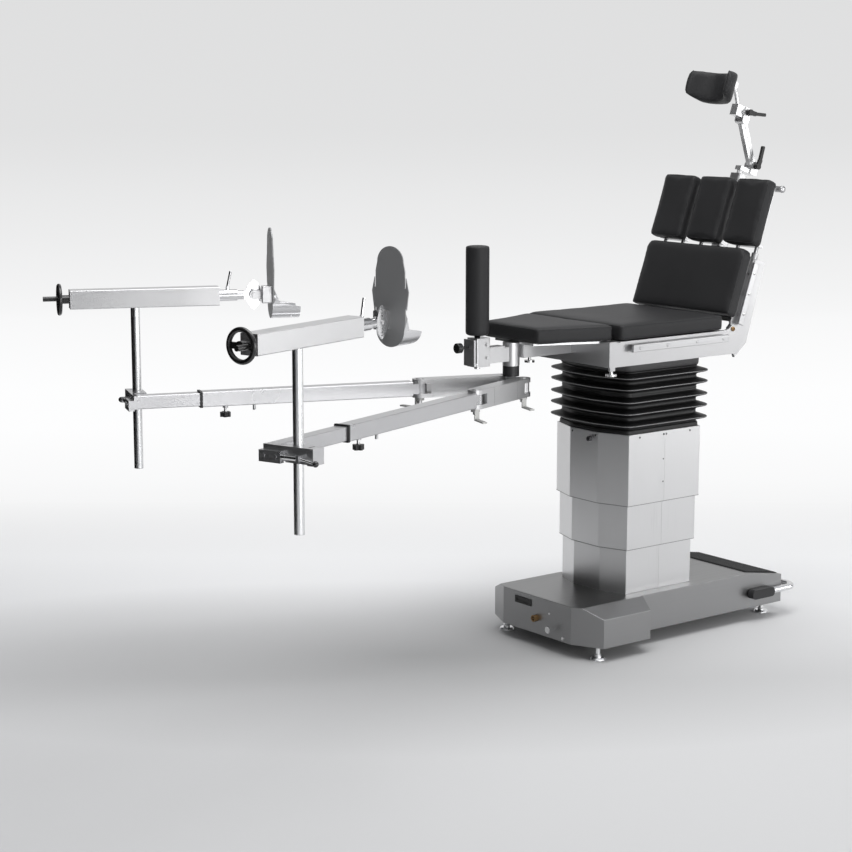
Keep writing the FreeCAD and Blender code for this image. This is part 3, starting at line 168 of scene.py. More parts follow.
def brushed(name, colour, rough, stretch, depth=0.12, metallic=1.0):
    """Brushed metal: fine streaks along one direction and broad soft variation."""
    s = Shader(name)
    streaks = s.noise(260.0, stretch, 6.0)
    broad = s.noise(3.0, EVEN, 2.0)
    mixed = s.node("ShaderNodeMath", Value=streaks)
    mixed.operation = "ADD"
    s.feed(mixed.inputs[1], broad)
    mixed = s.span(mixed.outputs["Value"], -0.5, 1.5)
    s.set(Base_Color=s.tint(mixed, shade(colour, 0.78), shade(colour, 1.2)), Metallic=metallic)
    s.set(Roughness=s.span(streaks, rough - 0.08, rough + 0.12))
    return s.bump(streaks, depth, 0.0004, SOFT_EDGE).mat


def satin(name, colour, rough, metallic=0.9):
    """Blasted and anodised metal with a faint mottle."""
    s = Shader(name)
    grain = s.noise(420.0, EVEN, 4.0)
    cloud = s.noise(6.0, EVEN, 3.0)
    s.set(Base_Color=s.tint(cloud, shade(colour, 0.93), shade(colour, 1.05)), Metallic=metallic)
    s.set(Roughness=s.span(cloud, rough - 0.05, rough + 0.07))
    return s.bump(grain, 0.08, 0.0003).mat


def polished(name, colour, rough):
    """Polished or chromed metal with a faint smear."""
    s = Shader(name)
    smear = s.noise(9.0, EVEN, 5.0)
    s.set(Base_Color=s.tint(smear, shade(colour, 0.95), colour), Metallic=1.0)
    s.set(Roughness=s.span(smear, rough * 0.6, rough * 1.6))
    return s.bump(s.noise(30.0), 0.02, 0.0005).mat


def moulded(name, colour, rough, grain=500.0, depth=0.15, coat=0.0):
    """Moulded plastic or rubber with a fine grain."""
    s = Shader(name)
    cloud = s.noise(12.0, EVEN, 3.0)
    s.set(Base_Color=s.tint(cloud, shade(colour, 0.8), shade(colour, 1.3)))
    s.set(Roughness=s.span(cloud, rough - 0.06, rough + 0.08), Coat_Weight=coat, Coat_Roughness=0.2)
    return s.bump(s.noise(grain, EVEN, 2.0), depth, 0.0004).mat


def vinyl(name, colour):
    """Black upholstery skin: pebbled grain, soft sheen and faint handling marks."""
    s = Shader(name)
    pebble = s.node("ShaderNodeTexVoronoi", Vector=s.coords, Scale=900.0)
    cloud = s.noise(5.0, EVEN, 4.0)
    s.set(Base_Color=s.tint(cloud, shade(colour, 0.75), shade(colour, 1.35)))
    s.set(Roughness=s.span(cloud, 0.42, 0.56), Specular_IOR_Level=0.22)
    return s.bump(pebble.outputs["Distance"], 0.22, 0.0003).mat


def cast_paint(name, colour):
    """Painted casting with an orange-peel skin."""
    s = Shader(name)
    skin = s.noise(120.0, EVEN, 6.0)
    s.set(Base_Color=s.tint(skin, shade(colour, 0.8), shade(colour, 1.2)), Roughness=0.6)
    return s.bump(skin, 0.35, 0.001).mat


UPRIGHT = (1.0, 1.0, 0.012)
ALONG_X = (0.012, 1.0, 1.0)
BLACK = (0.012, 0.012, 0.013)
STEEL = (0.27, 0.27, 0.272)
PALE = (0.78, 0.785, 0.79)
MATERIALS = {
    "cast_base": cast_paint("cast_base", (0.05, 0.052, 0.055)),
    "base_steel": brushed("base_steel", STEEL, 0.34, ALONG_X),
    "foot_steel": brushed("foot_steel", PALE, 0.28, EVEN),
    "mat_rubber": moulded("mat_rubber", BLACK, 0.62, 300.0, 0.4),
    "fittings": moulded("fittings", (0.008, 0.008, 0.008), 0.35),
    "bar_steel": polished("bar_steel", (0.82, 0.82, 0.83), 0.16),
    "grip_plastic": moulded("grip_plastic", BLACK, 0.45, 380.0, 0.3),
    "column_steel": brushed("column_steel", (0.57, 0.57, 0.573), 0.32, UPRIGHT),
    "mast_metal": satin("mast_metal", STEEL, 0.4),
    "pivot_steel": brushed("pivot_steel", STEEL, 0.3, EVEN),
    "bellows_rubber": moulded("bellows_rubber", (0.0015, 0.0015, 0.0016), 0.46, 200.0, 0.08),
    # Lighter grey at the pleat tips: a painted highlight along each tip
    "bellows_tip_highlight": moulded("bellows_tip_highlight", (0.16, 0.16, 0.163), 0.25, 200.0, 0.05, 0.3),
    "bellows_collar": moulded("bellows_collar", (0.045, 0.045, 0.046), 0.5, 400.0, 0.2),
    "pin_bronze": satin("pin_bronze", (0.30, 0.19, 0.09), 0.35, 0.9),
    "frame_metal": satin("frame_metal", (0.46, 0.46, 0.465), 0.34),
    "rail_steel": brushed("rail_steel", (0.36, 0.36, 0.365), 0.3, ALONG_X),
    "beam_metal": satin("beam_metal", (0.56, 0.56, 0.565), 0.32),
    "knob_steel": polished("knob_steel", (0.8, 0.8, 0.8), 0.18),
    "pad_skin": vinyl("pad_skin", (0.021, 0.021, 0.022)),
    # A touch lighter than the pad skin: real welts, with a painted highlight along the seams
    "welt_highlight_skin": vinyl("welt_highlight_skin", (0.032, 0.032, 0.033)),
    "knob_plastic": moulded("knob_plastic", (0.01, 0.01, 0.01), 0.22, 600.0, 0.05, 0.3),
    "head_metal": satin("head_metal", (0.72, 0.722, 0.725), 0.34, 0.85),
    "lever_plastic": moulded("lever_plastic", (0.004, 0.004, 0.004), 0.45),
    "arm_metal": satin("arm_metal", (0.56, 0.56, 0.565), 0.3),
    "tube_steel": satin("tube_steel", (0.55, 0.55, 0.56), 0.28),
    "pin_lever_metal": satin("pin_lever_metal", (0.42, 0.42, 0.41), 0.42, 0.6),
    "star_plastic": moulded("star_plastic", BLACK, 0.42),
    "clamp_steel": polished("clamp_steel", (0.78, 0.78, 0.78), 0.2),
    "upright_steel": brushed("upright_steel", (0.66, 0.665, 0.67), 0.24, UPRIGHT),
    "unit_metal": satin("unit_metal", (0.62, 0.62, 0.625), 0.3),
    "wheel_plastic": moulded("wheel_plastic", (0.008, 0.008, 0.008), 0.25, 700.0, 0.04, 0.5),
    "spindle_steel": polished("spindle_steel", (0.8, 0.8, 0.81), 0.16),
    "sole_metal": satin("sole_metal", (0.27, 0.272, 0.275), 0.4, 0.35),
    "heel_steel": satin("heel_steel", (0.72, 0.72, 0.73), 0.22, 1.0),
    "screw_dark": satin("screw_dark", (0.12, 0.12, 0.122), 0.45, 0.8),
}


def joint(name):
    """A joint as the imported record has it."""
    return next(j for j in frame["record"]["behaviour"]["joints"] if j["name"] == name)


def repaint(node, material, wanted):
    """Gives the faces whose centre is wanted another material."""
    mesh = NODES[node].data
    mesh.materials.append(MATERIALS[material])
    index = len(mesh.materials) - 1
    for face in mesh.polygons:
        if wanted(face.center):
            face.material_index = index


def repaint_arm(side):
    """Heel cup, tube collar, knob stem and lever ball in their own finishes."""
    hinge = Vector(joint("foot_tilt_" + side)["pos_m"])
    ahead = Vector(joint("spindle_travel_" + side)["axis"])
    repaint("foot_plate_" + side, "heel_steel", lambda c: (c - hinge).dot(ahead) > HEEL_FROM)
    repaint("foot_plate_" + side, "unit_metal", lambda c: (c - hinge).dot(ahead) < SOLE_BACK)
    repaint("outer_tube_" + side, "star_plastic", lambda c: arm_local(side, c).x > TUBE_END)
    repaint("star_knob_" + side, "clamp_steel", lambda c: c.z > KNOB_LOBES_TOP)
    repaint("clamp_lever_" + side, "wheel_plastic", lambda c: arm_local(side, c).y > BALL_FROM)


def is_hub_rubber(place):
    """Is this face on the rubber collar below the hub?"""
    inside = (place - HUB_AT).to_2d().length < HUB_RUBBER_R
    return inside and HUB_RUBBER_Z[0] < place.z < HUB_RUBBER_Z[1]


def is_back_rail(place):
    """Is this face on one of the two rails of the back section?"""
    flat = BACK_TURN.inverted() @ (place - HINGE)
    return BACK_RAIL_OUT < abs(place.y) and flat.x < BACK_RAIL_LONG


def is_cover_screw(place):
    """Does this face of the upper cover stand outside its sheet?"""
    return abs(place.y) > COVER_SHEET_Y or abs(place.x) > COVER_SHEET_X


# Edge rounds of machined pieces, of folded sheet, of the rails and of the base sheet
EDGE_ROUND = 0.0008
SHEET_ROUND = 0.0012
WIDE_EDGES = {"base_cover": 0.0018, "base_skirt": 0.0018, "side_rails": 0.0014}
WIDE_EDGES.update(dict.fromkeys(
    ("table_frame", "back_frame", "unit_housing_right", "unit_housing_left",
     "cover_upper", "cover_middle", "cover_lower"), SHEET_ROUND))
SHARP_ANGLE = math.radians(32)


def dress_frame():
    """Materials and small edge rounds on the rigid CAD nodes."""
    for part in frame["record"]["subparts"]:
        node = NODES[part["node"]]
        node.data.materials.clear()
        node.data.materials.append(MATERIALS[part["material_slot"]])
        bevel = node.modifiers.new("edge", "BEVEL")
        bevel.width = WIDE_EDGES.get(part["node"], EDGE_ROUND)
        bevel.segments = 2
        bevel.limit_method = "ANGLE"
        bevel.angle_limit = SHARP_ANGLE
        bevel.use_clamp_overlap = True
        bevel.harden_normals = False
    repaint("leg_beam", "grip_plastic", is_hub_rubber)
    repaint("cover_upper", "screw_dark", is_cover_screw)
    repaint("back_frame", "rail_steel", is_back_rail)
    repaint("panel_fittings", "pin_bronze", lambda c: abs(c.y) < SOCKET_HALF)
    repaint("panel_fittings", "knob_steel", lambda c: c.y < PLUGS_BELOW_Y)
    for side in ("right", "left"):
        repaint_arm(side)


# Mesh helpers

# Core of the column covers: half widths of its flats and of where its corners are cut
CORE_X, CORE_Y = 0.189, 0.167
CORE_CORNER_X, CORE_CORNER_Y = 0.155, 0.068


def finish_piece(obj, material, body, smooth=True):
    """Gives a new piece its material and the body it rides on."""
    obj.data.materials.clear()
    obj.data.materials.append(MATERIALS[material])
    if smooth:
        obj.data.polygons.foreach_set("use_smooth", [True] * len(obj.data.polygons))
    if body:
        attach(obj, body)
    return obj


def mesh_object(name, bm):
    """A new object in the scene from an edited mesh, which is freed."""
    mesh = bpy.data.meshes.new(name)
    bm.to_mesh(mesh)
    bm.free()
    obj = bpy.data.objects.new(name, mesh)
    bpy.context.scene.collection.objects.link(obj)
    return obj


def applied(obj):
    """Applies all modifiers and keeps the object."""
    depsgraph = bpy.context.evaluated_depsgraph_get()
    mesh = bpy.data.meshes.new_from_object(obj.evaluated_get(depsgraph))
    obj.modifiers.clear()
    obj.data = mesh
    return obj


def turned(bm, profile, origin, axis, steps=24):
    """Adds a turned form: profile is (radius, height) pairs along the axis."""
    turn = Vector(axis).to_track_quat("Z", "Y").to_matrix().to_4x4()
    place = Matrix.Translation(Vector(origin)) @ turn
    rings = []
    for radius, height in profile:
        ring = []
        for i in range(steps):
            a = 2 * math.pi * i / steps
            point = Vector((radius * math.cos(a), radius * math.sin(a), height))
            ring.append(bm.verts.new(place @ point))
        rings.append(ring)
    for low, high in zip(rings, rings[1:]):
        for i in range(steps):
            j = (i + 1) % steps
            bm.faces.new((low[i], low[j], high[j], high[i]))
    bm.faces.new(reversed(rings[0]))
    bm.faces.new(rings[-1])


# Small fasteners, trims and bar ends

BACK_RAIL_SCREWS = (0.060, 0.134, 0.208)
BACK_PLATE_SCREWS = (0.082, 0.188)
PLATE_SCREW_GAP = 0.014
RAIL_SCREW_R = 0.0042
PLATE_SCREW_R = 0.0024
PIN_HEAD_R = 0.0085
PIN_HEAD_Y = 0.235

# Bar behind the shoulder pads: where its end starts, and the turned form of its end
BAR_END = (0.528, 0.1945, -0.060)
BAR_CAP = [(0.0110, 0.0), (0.0112, 0.036), (0.0125, 0.0365), (0.0125, 0.0420),
           (0.0110, 0.0445), (0.0050, 0.0455)]

# Lips, in darker steel as a painted shade line under each cover's step: height of each and how far
# its cover stands out from the column's core
SHADE_LIPS = (("shade_lip_upper", "column_top", 0.020, 0.499), ("shade_lip_middle", "column_middle", 0.010, 0.341))
SHADE_LIP_SECTION = [(-0.0006, -0.0014), (0.0003, -0.0012), (0.0006, 0.0), (0.0003, 0.0010),
               (-0.0006, 0.0012)]


def pan_head(r):
    """Turned form of a pan head screw with its drive recess."""
    return [(r, 0.0), (r, 0.3 * r), (0.85 * r, 0.52 * r), (0.5 * r, 0.6 * r), (0.42 * r, 0.2 * r)]


def fasteners(name, material, body, heads):
    """Screw heads of one body as one piece: heads are (radius, place, axis)."""
    bm = bmesh.new()
    for radius, place, axis in heads:
        turned(bm, pan_head(radius), place, axis)
    finish_piece(mesh_object(name, bm), material, body, smooth=False)


def back_heads(side):
    """Screws of one side of the back section: three on its rail, two pairs on its plate."""
    out = Vector((0, side, 0))
    heads = [(RAIL_SCREW_R, back_point(x, side * 0.2425, -0.0255), out) for x in BACK_RAIL_SCREWS]
    for x in BACK_PLATE_SCREWS:
        for along in (x, x + PLATE_SCREW_GAP):
            heads.append((PLATE_SCREW_R, back_point(along, side * 0.2235, -0.052), out))
    return heads


def make_fasteners():
    """Heads of the hinge pins, and screw heads on the back section."""
    pins = [(PIN_HEAD_R, (HINGE.x, side * PIN_HEAD_Y, HINGE.z), (0, side, 0)) for side in (-1, 1)]
    fasteners("hinge_pin_heads", "pin_bronze", "table", pins)
    fasteners("back_screws", "knob_steel", "back", back_heads(-1) + back_heads(1))


def make_shade_lips():
    """Lips under the column covers, in darker steel as a painted shade line under each step."""
    for name, body, step, z in SHADE_LIPS:
        make_shade_lip(name, body, step, z)


def make_crossbar_ends():
    """Domed push-fit ends of the bar behind the shoulder pads."""
    bm = bmesh.new()
    for side in (-1, 1):
        start = back_point(BAR_END[0], side * BAR_END[1], BAR_END[2])
        turned(bm, BAR_CAP, start, (0, side, 0), 28)
    finish_piece(mesh_object("crossbar_ends", bm), "rail_steel", "back")


def eight_sided(flat_x, corner_y, corner_x, flat_y):
    """Corners of a rectangle with bevelled corners, anticlockwise."""
    half = [(-flat_x, -corner_y), (-corner_x, -flat_y), (corner_x, -flat_y), (flat_x, -corner_y)]
    return half + [(-x, -y) for x, y in half]


def cover_plan(out):
    """Plan of a column cover at a distance from the core."""
    return eight_sided(CORE_X + out, CORE_CORNER_Y + 0.167 * out,
                       CORE_CORNER_X + 0.714 * out, CORE_Y + out)


def make_shade_lip(name, body, step, z):
    """A lip with a rounded section that runs round the lower edge of a cover, darker than the cover
    as a painted shade line.
    """
    bm = bmesh.new()
    rings = [[bm.verts.new((x, y, z + rise)) for x, y in cover_plan(step + out)]
             for out, rise in SHADE_LIP_SECTION]
    for low, high in zip(rings, rings[1:] + rings[:1]):
        for i in range(len(low)):
            j = (i + 1) % len(low)
            bm.faces.new((low[i], low[j], high[j], high[i]))
    finish_piece(mesh_object(name, bm), "mast_metal", body, smooth=False)


# Bellows

TILT_Z = 0.885
BELLOWS_LOW, BELLOWS_HIGH = 0.748, 0.9986
PLEAT_TIPS = (0.781, 0.823, 0.863, 0.907, 0.946)
COLLAR_Z = 0.966
# Half height of the painted highlight band at each pleat tip
TIP_HIGHLIGHT_HALF = 0.0011
NECK_OUT, TIP_OUT = 0.013, 0.043
CORNER_POINTS = 12


def corner_arc(before, corner, after, reach_in, reach_out, count):
    """Points of a soft curve that rounds one corner."""
    start = corner + (before - corner).normalized() * reach_in
    end = corner + (after - corner).normalized() * reach_out
    steps = [k / (count - 1) for k in range(count)]
    return [start * (1 - w) ** 2 + corner * 2 * w * (1 - w) + end * w ** 2 for w in steps]


def column_plan(out):
    """Rounded plan of the column, grown outwards."""
    corners = eight_sided(CORE_X + out, CORE_CORNER_Y, CORE_CORNER_X + out * 0.9, CORE_Y + out)
    radius = 0.022 + 0.25 * max(0.0, out)
    points = []
    for i in range(len(corners)):
        a, b, d = (Vector((*corners[(i + k) % len(corners)], 0)) for k in (-1, 0, 1))
        reach = min(radius, 0.45 * (a - b).length, 0.45 * (d - b).length)
        points += corner_arc(a, b, d, reach, reach, CORNER_POINTS)
    return points


def bellows_profile(low, high):
    """(height, outward step) pairs of the pleats between two heights."""
    neck, tip = NECK_OUT, TIP_OUT
    rows = [(0.7485, neck + 0.004), (0.7625, neck + 0.004), (0.7640, neck)]
    for z in PLEAT_TIPS:
        rows += [(z - 0.0150, neck - 0.002), (z - 0.0110, neck + 0.001)]
        rows += [(z - 0.0050, tip - 0.006), (z - 0.0030, tip - 0.0012), (z - 0.0012, tip)]
        rows += [(z + 0.0012, tip), (z + 0.0030, tip - 0.0012), (z + 0.0050, tip - 0.006)]
        rows += [(z + 0.0110, neck + 0.001), (z + 0.0150, neck - 0.002)]
    rows += [(0.9650, neck), (0.9670, neck + 0.004), (0.9985, neck + 0.004)]
    inside = [r for r in rows if low < r[0] < high]
    return [(low, neck - 0.001)] * (low > 0.75) + inside + [(high, neck - 0.001)] * (high < 0.99)


def make_bellows_half(name, low, high):
    """Half of the bellows, between two heights."""
    bm = bmesh.new()
    rings = []
    for z, out in bellows_profile(low, high):
        rings.append([bm.verts.new((p.x, p.y, z)) for p in column_plan(out)])
    for lower, upper in zip(rings, rings[1:]):
        n = len(lower)
        for i in range(n):
            bm.faces.new((lower[i], lower[(i + 1) % n], upper[(i + 1) % n], upper[i]))
    obj = mesh_object(name, bm)
    smooth = obj.modifiers.new("smooth", "SUBSURF")
    smooth.levels = 1
    smooth.render_levels = 1
    applied(obj)
    finish_piece(obj, "bellows_rubber", None)
    obj.data.materials.append(MATERIALS["bellows_tip_highlight"])
    obj.data.materials.append(MATERIALS["bellows_collar"])
    # The top collar in its own rubber; the pleat tips in a lighter grey, a painted highlight
    for face in obj.data.polygons:
        if face.center.z > COLLAR_Z:
            face.material_index = 2
        elif min(abs(face.center.z - tip) for tip in PLEAT_TIPS) < TIP_HIGHLIGHT_HALF:
            face.material_index = 1
    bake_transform(obj)
    return obj


def make_bellows():
    """Two halves that meet at the tilt axis."""
    lower = make_bellows_half("bellows_lower", BELLOWS_LOW, TILT_Z)
    upper = make_bellows_half("bellows_upper", TILT_Z, BELLOWS_HIGH)
    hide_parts("bellows")
    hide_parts("bellows")


# Soft pads

HEAD_PAD_BACK = 0.1105
SHOULDER_PAD_BACK = -0.0056
POST_PAD_LOW = 1.1137
WELT_R = 0.0011
WELT_CORNER_POINTS = 7
PRESSURE = 4.0
SETTLE_FRAMES = 20
PAD_TOP, PAD_LOW = 1.145, 1.084
SEAT_OUTLINE = ((-0.272, -0.250), (0.222, -0.250), (0.222, 0.250), (-0.272, 0.250))
NOSE_OUTLINE = ((-0.560, -0.148), (-0.275, -0.232), (-0.275, 0.232), (-0.560, 0.148))
SEAT_CORNERS = (0.014,) * 4
BACK_CORNERS = (0.010, 0.034, 0.034, 0.010)
SHOULDER_CORNERS = (0.016,) * 4
SHOULDER_PITCH = 0.183
SHOULDER_HALF = 0.081


def copy_node(name, node):
    """A free copy of a CAD node's mesh."""
    source = NODES[node]
    obj = bpy.data.objects.new(name, source.data.copy())
    bpy.context.scene.collection.objects.link(obj)
    return obj


def shrink(obj, amount):
    """Moves every vertex in along its normal, as room for the swelling."""
    bm = bmesh.new()
    bm.from_mesh(obj.data)
    bmesh.ops.remove_doubles(bm, verts=bm.verts, dist=1e-5)
    bm.normal_update()
    for v in bm.verts:
        v.co -= v.normal * amount
    bm.to_mesh(obj.data)
    bm.free()


def swell(obj, voxel, cap, relaxing=6):
    """Remeshes the pad, puffs it up as cloth and limits how far it may move."""
    remesh = obj.modifiers.new("remesh", "REMESH")
    remesh.mode = "VOXEL"
    remesh.voxel_size = voxel
    applied(obj)
    rest = [v.co.copy() for v in obj.data.vertices]
    cloth = obj.modifiers.new("cloth", "CLOTH")
    cloth.settings.use_pressure = True
    cloth.settings.uniform_pressure_force = PRESSURE
    cloth.settings.effector_weights.gravity = 0.0
    cloth.settings.tension_stiffness = 40
    cloth.settings.bending_stiffness = 2.0
    cloth.point_cache.frame_start = 1
    cloth.point_cache.frame_end = SETTLE_FRAMES
    for f in range(1, SETTLE_FRAMES + 1):
        bpy.context.scene.frame_set(f)
    applied(obj)
    bpy.context.scene.frame_set(1)
    for v, was in zip(obj.data.vertices, rest):
        step = v.co - was
        if step.length > cap:
            v.co = was + step * (cap / step.length)
    relax = obj.modifiers.new("relax", "SMOOTH")
    relax.factor = 0.5
    relax.iterations = relaxing
    finer = obj.modifiers.new("finer", "SUBSURF")
    finer.levels = 1
    finer.render_levels = 1
    return applied(obj)


def soft_pad(name, node, body, voxel=0.007, cap=0.004):
    """A pad that takes the place of its whole CAD node."""
    obj = copy_node(name, node)
    shrink(obj, cap * 0.8)
    swell(obj, voxel, cap)
    finish_piece(obj, "pad_skin", body)
    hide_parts(node)
    return obj


def cut_at(obj, point, normal, keep_above):
    """Keeps the mesh on one side of a plane and closes the cut."""
    bm = bmesh.new()
    bm.from_mesh(obj.data)
    bmesh.ops.remove_doubles(bm, verts=bm.verts, dist=1e-5)
    geom = bm.verts[:] + bm.edges[:] + bm.faces[:]
    made = bmesh.ops.bisect_plane(bm, geom=geom, plane_co=point, plane_no=normal,
                                  clear_inner=keep_above, clear_outer=not keep_above)
    rim = [e for e in made["geom_cut"] if isinstance(e, bmesh.types.BMEdge)]
    bmesh.ops.holes_fill(bm, edges=rim)
    bm.to_mesh(obj.data)
    bm.free()


def split_pad(name, node, body, point, normal, mount, cap=0.003, voxel=0.006, relaxing=6):
    """A pad and its rigid mount that share one CAD node."""
    pad = copy_node(name, node)
    cut_at(pad, point, normal, True)
    shrink(pad, cap * 0.8)
    swell(pad, voxel, cap, relaxing=relaxing)
    finish_piece(pad, "pad_skin", body)
    base = copy_node(name + "_mount", node)
    cut_at(base, point, normal, False)
    finish_piece(base, mount, body, smooth=False)
    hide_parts(node)
    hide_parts(node)
    return pad


def rounded_loop(corners, radius, step=0.008):
    """Points along a closed outline with rounded corners."""
    points = []
    count = len(corners)
    for i, b in enumerate(corners):
        a, d = corners[i - 1], corners[(i + 1) % count]
        points += corner_arc(a, b, d, radius[i], radius[i], WELT_CORNER_POINTS)
        end, ahead = points[-1], (d - b).normalized()
        following = d - ahead * radius[(i + 1) % count]
        run = max(1, int((following - end).length / step))
        points += [end.lerp(following, k / run) for k in range(1, run)]
    return points


def welt(pad, loops, body):
    """Sewn edge seams: a thin corded welt laid on the finished skin of a pad."""
    tree = BVHTree.FromObject(pad, bpy.context.evaluated_depsgraph_get())
    curve = bpy.data.curves.new(pad.name + "_welt", "CURVE")
    curve.dimensions = "3D"
    curve.bevel_depth = WELT_R
    curve.bevel_resolution = 2
    for loop in loops:
        placed = []
        for point in loop:
            near, normal, _, _ = tree.find_nearest(point)
            placed.append(near + normal * 0.3 * WELT_R)
        spline = curve.splines.new("POLY")
        spline.points.add(len(placed) - 1)
        for slot, point in zip(spline.points, placed):
            slot.co = (*point, 1.0)
        spline.use_cyclic_u = True
    cord = bpy.data.objects.new(curve.name, curve)
    bpy.context.scene.collection.objects.link(cord)
    depsgraph = bpy.context.evaluated_depsgraph_get()
    mesh = bpy.data.meshes.new_from_object(cord.evaluated_get(depsgraph))
    bpy.data.objects.remove(cord)
    piece = bpy.data.objects.new(pad.name + "_welt", mesh)
    bpy.context.scene.collection.objects.link(piece)
    # The welt's lighter skin is a painted highlight along the seam
    finish_piece(piece, "welt_highlight_skin", body)


def flat_loops(outline, radius, heights):
    """One rounded loop at each height."""
    return [rounded_loop([Vector((x, y, z)) for x, y in outline], radius) for z in heights]


def back_loops(x0, x1, y0, y1, radius, heights):
    """Rounded loops laid out flat in the back section and raised with it."""
    outline = ((x0, y0), (x1, y0), (x1, y1), (x0, y1))
    loops = flat_loops(outline, radius, heights)
    return [[back_point(*point) for point in loop] for loop in loops]


def make_pads():
    """All padded pieces, with welts on those that have a sewn edge."""
    heights = (PAD_TOP, PAD_LOW)
    seat = soft_pad("seat_pad", "main_pad", "table")
    welt(seat, flat_loops(SEAT_OUTLINE, SEAT_CORNERS, heights), "table")
    nose = soft_pad("seat_nose_pad", "pelvic_pad", "table")
    welt(nose, flat_loops(NOSE_OUTLINE, SEAT_CORNERS, heights), "table")
    lumbar = soft_pad("lumbar_pad", "back_pad", "back")
    welt(lumbar, back_loops(0.032, 0.288, -0.250, 0.250, BACK_CORNERS, (0.058, 0.006)), "back")
    up = (BACK_TURN @ Vector((0, 0, 1))).normalized()
    rear = back_point(0, 0, SHOULDER_PAD_BACK)
    for side, y in (("right", -SHOULDER_PITCH), ("middle", 0.0), ("left", SHOULDER_PITCH)):
        body = "shoulder_" + side
        pad = split_pad("shoulder_cushion_" + side, "shoulder_pad_" + side, body, rear, up,
                        "frame_metal")
        loops = back_loops(0.296, 0.540, y - SHOULDER_HALF, y + SHOULDER_HALF, SHOULDER_CORNERS,
                           (0.045, -0.007))
        welt(pad, loops, body)
    split_pad("groin_post", "perineal_post", "post", (0, 0, POST_PAD_LOW), (0, 0, 1),
              "knob_steel")
    split_pad("head_pad", "head_cushion", "head_rest", back_point(0, 0, HEAD_PAD_BACK), up,
              "head_metal", cap=0.0025, voxel=0.005, relaxing=26)


# Stage

CAMERA_PLACE = (-4.913, -5.228, 1.985)
CAMERA_AZIMUTH = math.radians(37.49)
CAMERA_DROP = math.radians(9.91)
CAMERA_LENS = 86.4
CAMERA_SENSOR = 36.0
WORLD_BRIGHT_SIDE = (0.45, -0.89, 0.0)
WORLD_LOW = (0.10, 0.10, 0.105, 1.0)
WORLD_HIGH = (0.80, 0.81, 0.83, 1.0)
WORLD_STRENGTH = (0.20, 1.45)

# Sweep: it runs away from the camera, from its near end over the bend to its top
SWEEP_NEAR, SWEEP_BEND, SWEEP_TOP = -14.0, 9.0, 16.0
SWEEP_BEND_R = 4.0
SWEEP_FAR = SWEEP_BEND + SWEEP_BEND_R
SWEEP_HALF = 22.0
BEND_STEPS = 12

# Greys along the sweep, from 4 m before the object (0) to the wall (1). Painted shadow: the floor
# is darkest from about 2.3 m before the object to under its near part, where its shadow falls
GREYS_FROM = -4.0
FLOOR_SHADE_GREYS = ((0.0, 0.80), (0.05, 0.70), (0.10, 0.58), (0.2, 0.60), (0.25, 0.76), (0.30, 0.92),
               (1.0, 0.92))
# Distances from the object over which the floor turns plain pale, and then the whole sweep
PALE_NEAR = (4.6, 8.5)
PALE_FAR = (15.0, 20.0)
PALE_GREY = (0.88, 0.882, 0.886, 1.0)
# Painted shadow: a soft dark pool on the floor round the base
SHADOW_POOL_PLACE = (0.36, 0.34, 0.0)
SHADOW_POOL_SCALE = (0.48, 0.95, 1.0)
SHADOW_POOL_GREY = 0.60
# Painted light on the horizon: the distances over which the sweep turns to glowing, and its glowing
# greys, brightest in a band behind the object
HORIZON_FROM, HORIZON_TO = 0.6, 2.2
HORIZON_GLOW_GREYS = ((0.0, 0.60), (0.26, 0.70), (0.296, 0.82), (0.34, 0.896), (0.394, 0.95),
                 (0.476, 0.985), (0.56, 0.985), (0.775, 0.94), (0.861, 0.871), (0.909, 0.815),
                 (0.944, 0.753), (1.0, 0.737))

# Flag: its foot line on the floor and its height
FLAG_FOOT = ((-3.7, -1.1, 0.02), (-3.4, 0.9, 0.02), (-0.9, 2.9, 0.02))
FLAG_HIGH = 3.2

# Lights: name, place, target, size, power
LIGHTS = (("top", (-0.6, -0.8, 4.8), (-0.4, 0, 0.6), (4.2, 3.2), 165),
          ("side", (4.6, -4.6, 1.5), (0.1, 0, 0.7), (2.4, 2.4), 68),
          ("front", (-0.8, -6.4, 1.35), (-0.8, 0, 0.9), (5.0, 2.2), 150))


def make_stage():
    """Pale sweep: floor that curves up into a wall behind."""
    profile = [(SWEEP_NEAR, 0.0), (SWEEP_BEND, 0.0)]
    for i in range(1, BEND_STEPS + 1):
        a = math.radians(90 * i / BEND_STEPS)
        profile.append((SWEEP_BEND + SWEEP_BEND_R * math.sin(a),
                        SWEEP_BEND_R - SWEEP_BEND_R * math.cos(a)))
    profile.append((SWEEP_FAR, SWEEP_TOP))
    bm = bmesh.new()
    rows = []
    for d, z in profile:
        rows.append([bm.verts.new((s, d, z)) for s in (-SWEEP_HALF, SWEEP_HALF)])
    for a, b in zip(rows, rows[1:]):
        bm.faces.new((a[0], a[1], b[1], b[0]))
    sweep = mesh_object("sweep", bm)
    sweep.rotation_euler = (0, 0, -CAMERA_AZIMUTH)
    sweep.data.polygons.foreach_set("use_smooth", [True] * len(sweep.data.polygons))
    sweep.data.materials.append(sweep_material())


def grey_ramp(shader, fac, stops):
    """Greys blended along a value of 0 to 1: stops are (place, grey), ends included."""
    made = shader.node("ShaderNodeValToRGB", Fac=fac)
    ramp = made.color_ramp
    for at, grey in stops:
        stop = ramp.elements.new(at) if 0.0 < at < 1.0 else ramp.elements[-int(at)]
        stop.color = (grey, grey * 1.002, grey * 1.006, 1.0)
    return made.outputs["Color"]


def product(shader, first, second):
    """Product of two node values."""
    made = shader.node("ShaderNodeMath", Value=first)
    made.operation = "MULTIPLY"
    shader.feed(made.inputs[1], second)
    return made.outputs["Value"]


